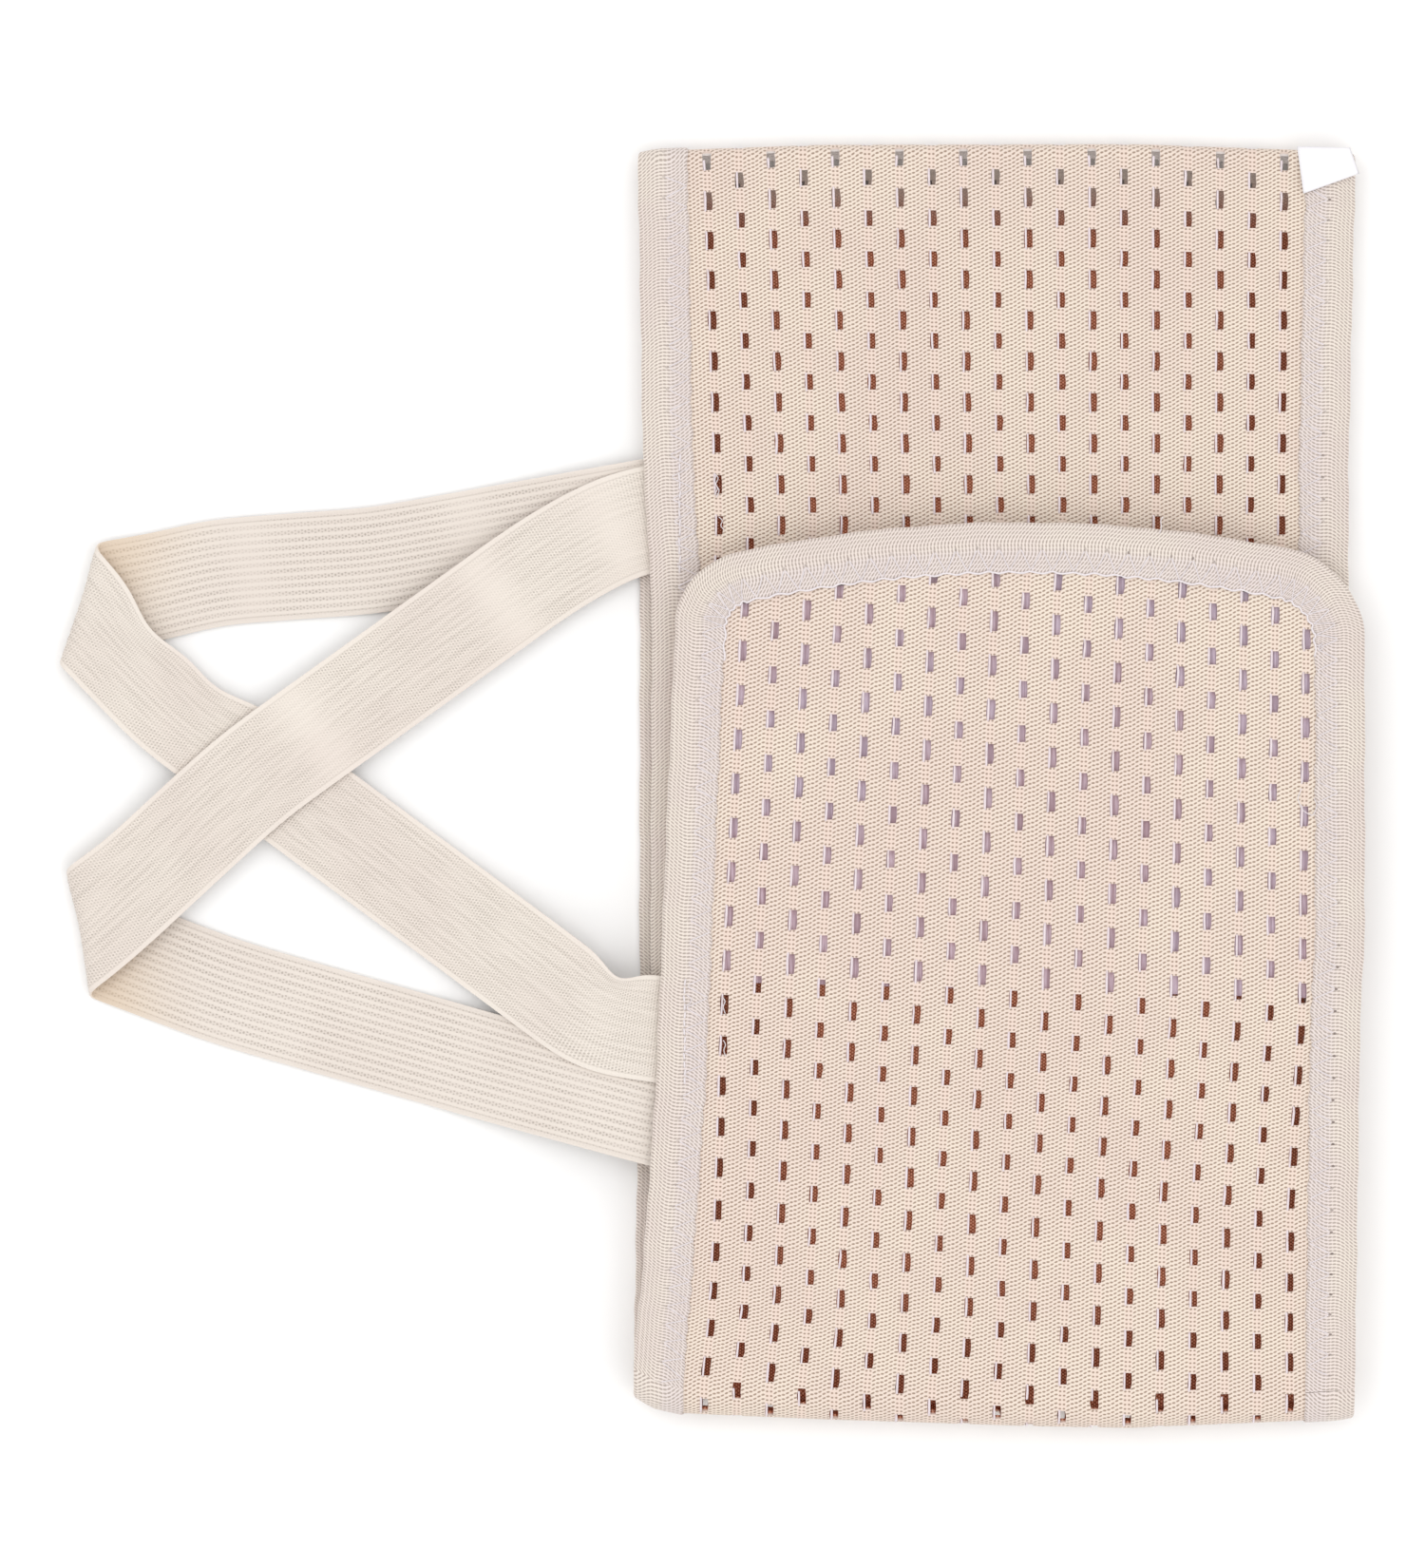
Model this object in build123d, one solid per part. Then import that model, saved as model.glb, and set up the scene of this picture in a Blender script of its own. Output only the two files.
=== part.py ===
"""A perforated elastic lumbar support belt with two shoulder straps, packed flat.

The long belt is folded in half at its centre back, and both halves are folded up again, so four plies
lie on each other: back, front, inner end and outer end, from the table up. The two upper plies are the
front flap, which opens about the bottom fold. The straps stand out on the left and run from the lower
plies to the flap.

Millimetres. +Z is up from the table, +Y runs from the bottom fold to the centre fold, +X away from the
straps. The origin is at the centre of the whole object's plan, on the table.
"""

from build123d import *
import math
import os

os.makedirs("parts", exist_ok=True)

# ---------------------------------------------------------------- driving dimensions
OVERALL_X = 368.0  # left turns of the straps to the flap's right edge
OVERALL_Y = 364.0  # bottom fold to centre fold

PANEL_T = 1.6  # perforated elastic
TAPE_T = 0.6  # one layer of the binding tape
BINDING_W = 14.0  # the tape folded over the edge, as it shows on one face
STRAP_W = 30.0
STRAP_T = 1.0
PAD_T = 1.0  # hook panel and loop panel
SEAM_T = 0.25  # sewing thread standing on the tape
ZIGZAG_W = 6.4
ZIGZAG_INSET = 0.8  # from the binding's inner edge
LABEL_T = 0.7

STRAP_ROOM = 2.6  # between two plies of one pair, for the strap ends
SEAM_ROOM = 0.8  # between the front ply and the flap above it
LABEL_CLEARANCE = 0.55  # label above the front ply's binding, over the seam

# ---------------------------------------------------------------- levels and folds
BOUND_T = PANEL_T + 2 * TAPE_T
Z_BACK = BOUND_T / 2
Z_FRONT = Z_BACK + BOUND_T + STRAP_ROOM
Z_INNER = Z_FRONT + BOUND_T + SEAM_ROOM
Z_OUTER = Z_INNER + BOUND_T + STRAP_ROOM

BOTTOM_Z = (Z_FRONT + Z_INNER) / 2
INNER_R = (Z_INNER - Z_FRONT) / 2
OUTER_R = (Z_OUTER - Z_BACK) / 2
BOTTOM_Y = -OVERALL_Y / 2 + OUTER_R + BOUND_T / 2

CENTRE_Z = (Z_FRONT + Z_BACK) / 2
CENTRE_R = (Z_FRONT - Z_BACK) / 2
CENTRE_Y = OVERALL_Y / 2 - CENTRE_R - BOUND_T / 2

# ---------------------------------------------------------------- ply outlines
# Each edge is a list of (y, x) points from the bottom fold upwards.
BACK_LEFT = [(BOTTOM_Y, -22.0), (-60.0, -20.4), (60.0, -20.2), (94.0, -19.0), (CENTRE_Y, -20.8)]
BACK_RIGHT = [(BOTTOM_Y, 181.2), (88.0, 179.4), (CENTRE_Y, 181.8)]
FRONT_LEFT = [(BOTTOM_Y, -17.6), (50.0, -16.8), (94.0, -19.4), (CENTRE_Y, -20.8)]
FRONT_RIGHT = [(BOTTOM_Y, 180.6), (88.0, 179.8), (CENTRE_Y, 181.8)]
INNER_LEFT = [(BOTTOM_Y, -17.6), (-86.0, -14.6), (60.0, -9.0)]
INNER_RIGHT = [(BOTTOM_Y, 180.6), (60.0, 181.8)]
OUTER_LEFT = [(BOTTOM_Y, -22.0), (-86.0, -15.8), (62.0, -9.6)]
OUTER_RIGHT = [(BOTTOM_Y, 181.2), (-70.0, 182.6), (-40.0, OVERALL_X / 2), (62.0, OVERALL_X / 2)]
INNER_PEAK = (68.0, 71.0)
OUTER_PEAK = (70.0, 74.0)
LEFT_CORNER_R = 22.0
RIGHT_CORNER_R = 27.0

# ---------------------------------------------------------------- pads, seams and label
HOOK_LOW_Y = -55.0
LOOP_LOW_Y = -60.0
FRONT_ANCHOR_X = -9.0
FRONT_ANCHOR_Y = (60.0, 94.0)
FLAP_ANCHOR_X = -7.6
FLAP_ANCHOR_Y = (-84.0, -54.0)
ANCHOR_SEAM_W = 0.6
LABEL_X = (165.2, 182.6)
LABEL_Y = (167.4, 181.0)

# ---------------------------------------------------------------- straps
# A turn is where a strap doubles back on the left. Its direction runs down along the fold.
TURN_A_CENTRE = Vector(-178.13, 52.8, 0)
TURN_A_DIRECTION = Vector(-0.33, -0.944, 0)
TURN_B_CENTRE = Vector(-178.6, -40.2, 0)
TURN_B_DIRECTION = Vector(0.14, -0.99, 0)
# Routes in plan, from the belt to the turn and from the turn to the belt.
STRAP_A_OUT = [(-4, 80), (-95, 63.8), (-140, 60.6)]
STRAP_A_BACK = [(-152, 22.5), (-32, -66), (-4, -70)]
STRAP_B_OUT = [(-3, 78), (-25, 74.5), (-45, 63.4), (-130, 2.5)]
STRAP_B_BACK = [(-160, -49.5), (-138, -58), (-66, -78.5), (-4, -95)]
# Heights of the strap's middle along X, from the turn to the belt.
TABLE_LEVEL = 0.8
TURN_LEVEL = 4.0
A_OUT_HEIGHTS = [(-190, TABLE_LEVEL), (-75, TABLE_LEVEL), (-24, 3.4), (0, 3.4)]
A_BACK_HEIGHTS = [(-190, TURN_LEVEL), (-80, TURN_LEVEL), (-19, 13.7), (0, 13.7)]
B_OUT_HEIGHTS = [(-190, TURN_LEVEL), (-168, TURN_LEVEL), (-150, 5.5), (-70, 5.5), (-24, 4.6), (0, 4.6)]
B_BACK_HEIGHTS = [(-190, TABLE_LEVEL), (-85, TABLE_LEVEL), (-19, 12.5), (0, 12.5)]
PLAN_BEND_R = 60.0
FAR = 400.0  # reach of the cutting blocks


def flat_extrude(face, z_middle, thickness):
    """A plate of that thickness about the height z_middle."""
    return extrude(Pos(0, 0, z_middle - thickness / 2) * face, amount=thickness, dir=(0, 0, 1))


def strip_face(left, right, inset):
    """Plan of a ply that runs from fold to fold, its side edges moved in by inset."""
    points = [(x + inset, y) for y, x in left]
    points += [(x - inset, y) for y, x in reversed(right)]
    return make_face(Polyline(*points, close=True))


def end_face(left, right, peak, inset):
    """Plan of a ply that ends in a rounded end, its sides and end moved in by inset."""
    left_points = [(x + inset, y) for y, x in left]
    right_points = [(x - inset, y) for y, x in right]
    top_left = (left_points[-1][0], left_points[-1][1] - inset)
    top_right = (right_points[-1][0], right_points[-1][1] - inset)
    top = ThreePointArc(top_left, (peak[0], peak[1] - inset), top_right)
    rest = Polyline(top_right, *reversed(right_points[:-1]), *left_points[:-1], top_left)
    face = make_face([top, *rest.edges()])
    left_corner = min(face.vertices(), key=lambda v: (Vector(v) - Vector(*top_left)).length)
    face = fillet(left_corner, LEFT_CORNER_R - inset)
    right_corner = min(face.vertices(), key=lambda v: (Vector(v) - Vector(*top_right)).length)
    return fillet(right_corner, RIGHT_CORNER_R - inset)


def half_ring(centre_y, centre_z, radius, thickness, x_low, x_high, outward):
    """Half a tube along X about a fold; outward is 1 for the half towards +Y and -1 towards -Y."""
    ring = Circle(radius + thickness / 2) - Circle(radius - thickness / 2)
    reach = 2 * (radius + thickness)
    half = ring - Pos(-outward * reach / 2, 0) * Rectangle(reach, 2 * reach)
    profile = Plane.YZ * (Pos(centre_y, centre_z) * half)
    return Pos(x_low, 0, 0) * extrude(profile, amount=x_high - x_low, dir=(1, 0, 0))


def strap_band(route):
    """Plan of a strap run: its middle line widened to the strap's width, with rounded bends."""
    if len(route) == 2:
        line = Line(*route)
    else:
        line = FilletPolyline(*route, radius=PLAN_BEND_R)
    return trace(line, STRAP_W)


def height_block(heights):
    """A block as thick as the strap that follows its heights along X, level at each end of every slope."""
    lower, upper = [], []
    for (x0, z0), (x1, z1) in zip(heights, heights[1:]):
        middle = (x0 + x1) / 2
        for chain, offset in ((lower, -STRAP_T / 2), (upper, STRAP_T / 2)):
            start, end = (x0, z0 + offset), (x1, z1 + offset)
            if z0 == z1:
                chain.append(Line(start, end))
            else:
                chain.append(Bezier(start, (middle, start[1]), (middle, end[1]), end))
    closing = [Line(lower[0] @ 0, upper[0] @ 0), Line(lower[-1] @ 1, upper[-1] @ 1)]
    profile = Plane.XZ * make_face(lower + upper + closing)
    return extrude(profile, amount=FAR / 2, both=True)


def strap_run(route, heights, cut):
    """One run of a strap, cut off square to the table along its turn."""
    band = extrude(strap_band(route), amount=FAR / 4, both=True)
    return (band & height_block(heights)) - cut


def strap(turn_edge, direction, out_route, out_heights, back_route, back_heights):
    """A strap that leaves the belt, doubles back over a soft turn and returns to the belt.

    turn_edge is the middle of the turn's outer edge in plan.
    """
    direction = direction.normalized()
    outward = Vector(direction.Y, -direction.X, 0)
    low_level = min(out_heights[0][1], back_heights[0][1])
    high_level = max(out_heights[0][1], back_heights[0][1])
    radius = (high_level - low_level) / 2
    middle = turn_edge - outward * (radius + STRAP_T / 2)
    leaving = middle - Vector(*out_route[-1])
    slant = math.sin(math.radians(leaving.get_angle(direction)))
    length = STRAP_W / slant
    cut = Pos(*middle) * Rot(0, 0, math.degrees(math.atan2(outward.Y, outward.X)))
    cut = cut * Pos(FAR / 2, 0, 0) * Box(FAR, FAR, FAR)
    beyond_out = middle + leaving.normalized() * STRAP_W
    along = leaving.normalized()
    mirrored = direction * (2 * along.dot(direction)) - along
    beyond_back = middle - mirrored * STRAP_W
    out_run = strap_run([*out_route, tuple(beyond_out)[:2]], out_heights, cut)
    back_run = strap_run([tuple(beyond_back)[:2], *back_route], back_heights, cut)
    ring = Circle(radius + STRAP_T / 2) - Circle(radius - STRAP_T / 2)
    ring = ring - Pos(-FAR / 2, 0) * Rectangle(FAR, FAR)
    start = middle + direction * (length / 2) + Vector(0, 0, (low_level + high_level) / 2)
    turn_plane = Plane(origin=start, x_dir=outward, z_dir=-direction)
    turn = extrude(turn_plane * ring, amount=length, dir=-direction)
    return out_run + turn + back_run


def save(shapes):
    """Writes each named shape to its own file."""
    for name, shape in shapes.items():
        export_step(shape, f"parts/{name}.step")


def strip_ply(name, left, right, level):
    """The panel and the two bindings of a ply that runs from fold to fold."""
    panel = flat_extrude(strip_face(left, right, TAPE_T), level, PANEL_T)
    borders = strip_face(left, right, 0) - strip_face(left, right, BINDING_W)
    left_face, right_face = borders.faces().sort_by(Axis.X)
    return {
        f"panel_{name}": panel,
        f"binding_{name}_left": flat_extrude(left_face, level, BOUND_T) - panel,
        f"binding_{name}_right": flat_extrude(right_face, level, BOUND_T) - panel,
    }


def end_ply(name, left, right, peak, level):
    """The panel and the one binding of a ply with a rounded end."""
    panel = flat_extrude(end_face(left, right, peak, TAPE_T), level, PANEL_T)
    border = end_face(left, right, peak, 0) - end_face(left, right, peak, BINDING_W)
    return {
        f"panel_{name}_end": panel,
        f"binding_{name}_end": flat_extrude(border, level, BOUND_T) - panel,
    }


def fold(name, centre_y, centre_z, radius, x_low, x_high, outward):
    """The panel and the two bindings where the belt turns round a fold."""
    place = (centre_y, centre_z, radius)
    panel = half_ring(*place, PANEL_T, x_low + TAPE_T, x_high - TAPE_T, outward)
    left = half_ring(*place, BOUND_T, x_low, x_low + BINDING_W, outward)
    right = half_ring(*place, BOUND_T, x_high - BINDING_W, x_high, outward)
    return {
        f"panel_{name}": panel,
        f"binding_{name}_left": left - panel,
        f"binding_{name}_right": right - panel,
    }


def strip_seam(left, right, level):
    """The two zigzag seams on a ply that runs from fold to fold, as flat strips of thread."""
    outer = BINDING_W - ZIGZAG_INSET - ZIGZAG_W
    inner = BINDING_W - ZIGZAG_INSET
    return flat_extrude(strip_face(left, right, outer) - strip_face(left, right, inner), level, SEAM_T)


def end_seam(left, right, peak, level):
    """The zigzag seam round a rounded end."""
    outer = BINDING_W - ZIGZAG_INSET - ZIGZAG_W
    inner = BINDING_W - ZIGZAG_INSET
    border = end_face(left, right, peak, outer) - end_face(left, right, peak, inner)
    return flat_extrude(border, level, SEAM_T)


def end_pad(left, right, peak, low_y, level):
    """A hook or loop panel that fills a rounded end inside its binding, down to low_y."""
    inside = end_face(left, right, peak, BINDING_W)
    inside = inside - Pos(0, low_y - FAR / 2) * Rectangle(FAR * 2, FAR)
    return flat_extrude(inside, level, PAD_T)


def plate(x_range, y_range, z_low, thickness):
    """A rectangular plate that stands on the height z_low."""
    size = (x_range[1] - x_range[0], y_range[1] - y_range[0], thickness)
    return Pos(x_range[0], y_range[0], z_low) * Box(*size, align=(Align.MIN, Align.MIN, Align.MIN))


def anchor_seam(x_middle, y_range, z_low):
    """A straight row of stitches through a strap's end, over the zigzag seam."""
    return plate((x_middle - ANCHOR_SEAM_W / 2, x_middle + ANCHOR_SEAM_W / 2), y_range, z_low, SEAM_T)


def belt():
    """Every piece of the belt by name."""
    front_top = Z_FRONT + BOUND_T / 2
    flap_top = Z_OUTER + BOUND_T / 2
    inner_underside = Z_INNER - BOUND_T / 2
    below = (PANEL_T + PAD_T) / 2
    pieces = {}
    pieces |= strip_ply("back", BACK_LEFT, BACK_RIGHT, Z_BACK)
    pieces |= strip_ply("front", FRONT_LEFT, FRONT_RIGHT, Z_FRONT)
    pieces |= end_ply("inner", INNER_LEFT, INNER_RIGHT, INNER_PEAK, Z_INNER)
    pieces |= end_ply("outer", OUTER_LEFT, OUTER_RIGHT, OUTER_PEAK, Z_OUTER)
    centre = (BACK_LEFT[-1][1], BACK_RIGHT[-1][1])
    inner = (FRONT_LEFT[0][1], FRONT_RIGHT[0][1])
    outer = (BACK_LEFT[0][1], BACK_RIGHT[0][1])
    pieces |= fold("centre_fold", CENTRE_Y, CENTRE_Z, CENTRE_R, *centre, 1)
    pieces |= fold("inner_bend", BOTTOM_Y, BOTTOM_Z, INNER_R, *inner, -1)
    pieces |= fold("outer_bend", BOTTOM_Y, BOTTOM_Z, OUTER_R, *outer, -1)
    pieces["seam_front"] = strip_seam(FRONT_LEFT, FRONT_RIGHT, front_top + SEAM_T / 2)
    pieces["seam_inner_end"] = end_seam(INNER_LEFT, INNER_RIGHT, INNER_PEAK, inner_underside - SEAM_T / 2)
    pieces["seam_outer_end"] = end_seam(OUTER_LEFT, OUTER_RIGHT, OUTER_PEAK, flap_top + SEAM_T / 2)
    pieces["hook_panel"] = end_pad(OUTER_LEFT, OUTER_RIGHT, OUTER_PEAK, HOOK_LOW_Y, Z_OUTER - below)
    pieces["loop_panel"] = end_pad(INNER_LEFT, INNER_RIGHT, INNER_PEAK, LOOP_LOW_Y, Z_INNER - below)
    pieces["anchor_seam_front"] = anchor_seam(FRONT_ANCHOR_X, FRONT_ANCHOR_Y, front_top + SEAM_T)
    pieces["anchor_seam_flap"] = anchor_seam(FLAP_ANCHOR_X, FLAP_ANCHOR_Y, flap_top + SEAM_T)
    pieces["care_label"] = plate(LABEL_X, LABEL_Y, front_top + LABEL_CLEARANCE, LABEL_T)
    pieces["shoulder_strap_a"] = strap(
        TURN_A_CENTRE, TURN_A_DIRECTION, STRAP_A_OUT, A_OUT_HEIGHTS, STRAP_A_BACK, A_BACK_HEIGHTS
    )
    pieces["shoulder_strap_b"] = strap(
        TURN_B_CENTRE, TURN_B_DIRECTION, STRAP_B_OUT, B_OUT_HEIGHTS, STRAP_B_BACK, B_BACK_HEIGHTS
    )
    return pieces


save(belt())
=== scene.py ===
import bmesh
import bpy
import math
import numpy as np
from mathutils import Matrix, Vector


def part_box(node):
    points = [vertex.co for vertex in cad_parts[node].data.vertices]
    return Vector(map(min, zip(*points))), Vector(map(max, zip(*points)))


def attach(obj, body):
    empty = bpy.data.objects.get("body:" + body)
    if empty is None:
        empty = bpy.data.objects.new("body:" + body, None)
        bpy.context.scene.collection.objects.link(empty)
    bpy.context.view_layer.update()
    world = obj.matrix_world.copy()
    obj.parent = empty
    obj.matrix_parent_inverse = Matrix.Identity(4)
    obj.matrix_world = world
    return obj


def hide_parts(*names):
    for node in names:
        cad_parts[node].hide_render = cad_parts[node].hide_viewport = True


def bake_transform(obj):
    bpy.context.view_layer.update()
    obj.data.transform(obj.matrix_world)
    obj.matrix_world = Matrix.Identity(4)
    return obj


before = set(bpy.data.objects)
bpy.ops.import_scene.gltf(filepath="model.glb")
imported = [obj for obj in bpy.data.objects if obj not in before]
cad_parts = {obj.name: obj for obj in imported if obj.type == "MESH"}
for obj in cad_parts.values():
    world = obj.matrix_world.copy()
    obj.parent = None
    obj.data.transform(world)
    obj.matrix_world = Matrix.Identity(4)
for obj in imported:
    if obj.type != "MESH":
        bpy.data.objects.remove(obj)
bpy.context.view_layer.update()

# The looks of a perforated elastic lumbar support belt, folded twice, with two shoulder straps.
# Shapes are worked out in millimetres in the frame's own axes and turned into metres when a mesh is made.
# The belt is one long fabric. Its outside face runs from the outer end, round the outer bend, along the back,
# round the centre fold, down the front, round the inner bend and along the inner end.

MM = 0.001
rng = np.random.default_rng(11)


def level(node):
    """Height of the middle of a CAD node, in millimetres."""
    low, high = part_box(node)
    return (low.z + high.z) / 2 / MM


# ---------------------------------------------------------------- places shared with the CAD source
Z_BACK = level("panel_back")
Z_FRONT = level("panel_front")
Z_INNER = level("panel_inner_end")
Z_OUTER = level("panel_outer_end")
BOTTOM_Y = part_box("panel_back")[0].y / MM
CENTRE_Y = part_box("panel_back")[1].y / MM
BOTTOM_Z = (Z_FRONT + Z_INNER) / 2
INNER_R = (Z_INNER - Z_FRONT) / 2
OUTER_R = (Z_OUTER - Z_BACK) / 2
CENTRE_Z = (Z_FRONT + Z_BACK) / 2
CENTRE_R = (Z_FRONT - Z_BACK) / 2

# Side edges of the plies, as (y, x) from the bottom fold upwards.
BACK_LEFT = [(BOTTOM_Y, -22.0), (-60.0, -20.4), (60.0, -20.2), (94.0, -19.0), (CENTRE_Y, -20.8)]
BACK_RIGHT = [(BOTTOM_Y, 181.2), (88.0, 179.4), (CENTRE_Y, 181.8)]
FRONT_LEFT = [(BOTTOM_Y, -17.6), (50.0, -16.8), (94.0, -19.4), (CENTRE_Y, -20.8)]
FRONT_RIGHT = [(BOTTOM_Y, 180.6), (88.0, 179.8), (CENTRE_Y, 181.8)]
INNER_LEFT = [(BOTTOM_Y, -17.6), (-86.0, -14.6), (60.0, -9.0)]
INNER_RIGHT = [(BOTTOM_Y, 180.6), (60.0, 181.8)]
OUTER_LEFT = [(BOTTOM_Y, -22.0), (-86.0, -15.8), (62.0, -9.6)]
OUTER_RIGHT = [(BOTTOM_Y, 181.2), (-70.0, 182.6), (-40.0, 184.0), (62.0, 184.0)]
INNER_PEAK = (68.0, 71.0)
OUTER_PEAK = (70.0, 74.0)
LEFT_CORNER_R = 22.0
RIGHT_CORNER_R = 27.0

# ---------------------------------------------------------------- fabric
PANEL_HALF = 0.8
PANEL_STILL = 0.85  # how far in from each end of a bend the heights passed to fold lie
YARN_STILL = 1.5
PANEL_INSET = 1.3  # the panel's cut edge inside the binding
PANEL_EDGE_HIDDEN = 4.0  # the same round the rounded ends
YARN_EDGE_HIDDEN = 10.0
COLUMNS = 19
COLUMN_PITCH = 9.0
ROW_PITCH = 11.58
HOLE_HALF_WIDTH = 1.22
HOLE_SHIFT = -0.3  # the opening's middle from the column's
HOLE_TIP = 0.14  # how much narrower each side of a hole is at its ends
HOLE_UNEVEN = 0.07  # how far a point on its rim strays
HOLE_ROUND = 0.22  # how far the rim sinks below the face
SHOULDER = 1.9  # from an opening's middle to flat cloth
EVEN_HALF = 2.6 / ROW_PITCH  # half a hole's length, in rows
ODD_HALF = 2.2 / ROW_PITCH
EDGE_LINES = 9
LEAN = 0.74  # rows that the outer end's right side lies further down
SAG = 1.25  # how far two plies of a pair settle towards each other
YARN_SHIFT = -1.08  # a yarn bar's middle from the column's middle
# First and last column of holes, as (y, x of first, x of last).
# The columns of the two plies of a pair lie beside each other, so that no two holes make one.
BACK_COLUMNS = [(BOTTOM_Y, -1.8, 163.1), (-140.0, -4.0, 160.0), (75.0, -1.2, 157.6), (150.0, -3.7, 158.2)]
BACK_COLUMNS += [(CENTRE_Y, -1.1, 162.0)]
FRONT_COLUMNS = [(BOTTOM_Y, -3.4, 159.9), (75.0, 2.4, 161.1), (CENTRE_Y, -1.1, 162.0)]
INNER_COLUMNS = [(BOTTOM_Y, -3.4, 159.9), (-119.0, -1.0, 160.2), (-61.5, 0.9, 163.5), (72.0, 7.7, 165.5)]
OUTER_COLUMNS = [(BOTTOM_Y, -1.8, 163.1), (-153.0, 0.2, 162.9), (-119.0, 2.0, 163.3), (-61.5, 3.9, 166.6)]
OUTER_COLUMNS += [(50.6, 9.6, 167.9), (72.0, 10.7, 168.6)]
FRONT_ROW_Y = 166.3  # a row of long holes on the front
# Rows of the outer end, as (row, y): further apart where the hook panel holds the cloth stretched.
OUTER_ROWS = [(-1.88, 74.0), (0.0, 50.6), (9.0, -61.5), (13.0, -107.3), (18.5, BOTTOM_Y)]

# ---------------------------------------------------------------- binding and seams
BINDING_W = 14.0
TAPE_IN = 0.84  # from the panel's middle to the inside of the tape
ZIGZAG_PERIOD = 6.2
ZIGZAG_OUTER = 7.4  # from the binding's outer edge
ZIGZAG_INNER = 13.7
THREAD_R = 0.17
EDGE_THREAD_R = 0.3
EDGE_THREAD_REACH = 118.0  # each way from the middle of a rounded end
STITCHES = 13  # in each strap's anchor seam
STITCH_R = 0.26
LOOSE_END_R = 0.14
TRACK_STEP = 1.2  # between points along the belt's edges
LABEL_CORNERS = [(165.2, 180.6), (179.8, 180.2), (182.4, 172.7), (167.0, 167.2)]
HOOK_FOOT = (-55.0, -59.6)  # y of the hook panel's lower edge, at its left and right end
LOOP_FOOT = (-60.0, -60.0)
SEAM_START = 7.0  # along the front's track, which begins behind the centre fold
TAPE_STILL = {"inner_bend": 1.4, "outer_bend": 1.62}  # as PANEL_STILL, for the binding
# Half of the tape's section: distance from the outer edge, height over the panel's middle.
TAPE_TOP = [(14.0, 1.0), (13.75, 1.34), (13.1, 1.46), (11.0, 1.5), (8.5, 1.58), (6.0, 1.62), (3.8, 1.56)]
TAPE_TOP += [(2.2, 1.38), (1.5, 1.27), (1.0, 1.3), (0.5, 1.12), (0.15, 0.7), (0.0, 0.25)]
TAPE_INSIDE = [(1.0, 0.4), (1.35, TAPE_IN), (6.0, TAPE_IN + 0.02), (13.0, TAPE_IN)]

# Loose thread ends in plan: each a run of (x, y) and the height of its middle.
FRONT_TOP = Z_FRONT + PANEL_HALF
FLAP_TOP = Z_OUTER + PANEL_HALF
FRONT_ENDS = [
    ([(0.9, 88.2), (2.1, 87.0), (1.0, 85.3), (2.3, 83.6), (1.3, 81.4)], FRONT_TOP),
    ([(1.2, 87.4), (0.6, 85.8), (1.9, 84.2), (0.9, 82.3)], FRONT_TOP),
    ([(2.2, 75.9), (3.3, 75.0), (2.4, 73.6), (3.5, 72.4)], FRONT_TOP),
]
CURLED_END = [(166.0, -0.8), (164.9, -3.4), (166.4, -6.8), (169.2, -8.4), (170.6, -5.6), (169.6, -3.2)]
COILED_END = [(170.6, 39.6), (171.8, 39.9), (172.2, 38.8), (171.2, 38.2), (170.7, 39.2), (172.0, 40.3)]
FLAP_ENDS = [
    ([(3.2, -59.4), (4.0, -60.6), (3.1, -61.9), (3.8, -63.8)], FLAP_TOP),
    ([(3.4, -71.6), (4.1, -72.8), (3.3, -74.1), (3.9, -75.9)], FLAP_TOP),
    (CURLED_END, FLAP_TOP + 0.7),
    (COILED_END, FLAP_TOP + 0.8),
    ([(-6.9, -58.8), (-5.6, -59.6), (-5.9, -61.2), (-7.2, -61.4), (-6.6, -63.0)], FLAP_TOP + 0.9),
    ([(126.2, 71.4), (126.8, 73.0), (126.3, 74.6), (127.0, 75.8)], FLAP_TOP + 0.6),
]

# How far each fold stands back from the CAD's straight one along X, and how far up that reaches.
BOTTOM_BOW = [(-24, 10.5), (-16, 6.6), (-8, 4.6), (6, 3.9), (30, 2.9), (94, 0.8)]
BOTTOM_BOW += [(118, 0.4), (165, 2.4), (184, 3.9)]
TOP_BOW = [(-24, 3.1), (-16, 2.2), (-8, 1.6), (30, 0.2), (120, 0.0), (165, 1.6), (184, 3.4)]
BOW_REACH = 48.0


def smoothstep(value, low, high):
    t = np.clip((value - low) / (high - low), 0, 1)
    return t * t * (3 - 2 * t)


def warp(points):
    """Moves belt points in plan so that both folds bow a little, as soft cloth does."""
    out = np.array(points, float)
    x, y = out[:, 0], out[:, 1].copy()
    low = smoothstep(BOTTOM_Y + BOW_REACH - y, 0, BOW_REACH)
    high = smoothstep(y - CENTRE_Y + BOW_REACH, 0, BOW_REACH)
    bottom = np.interp(x, *zip(*BOTTOM_BOW))
    top = np.interp(x, *zip(*TOP_BOW))
    out[:, 1] = y + bottom * low - top * high
    return out


def edge_x(edge, y):
    """The x of a side edge at y, carried on in a straight line past its last point."""
    ys = [p[0] for p in edge]
    xs = [p[1] for p in edge]
    slope = (xs[-1] - xs[-2]) / (ys[-1] - ys[-2])
    return np.interp(y, ys, xs) + np.maximum(np.asarray(y) - ys[-1], 0) * slope


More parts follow.
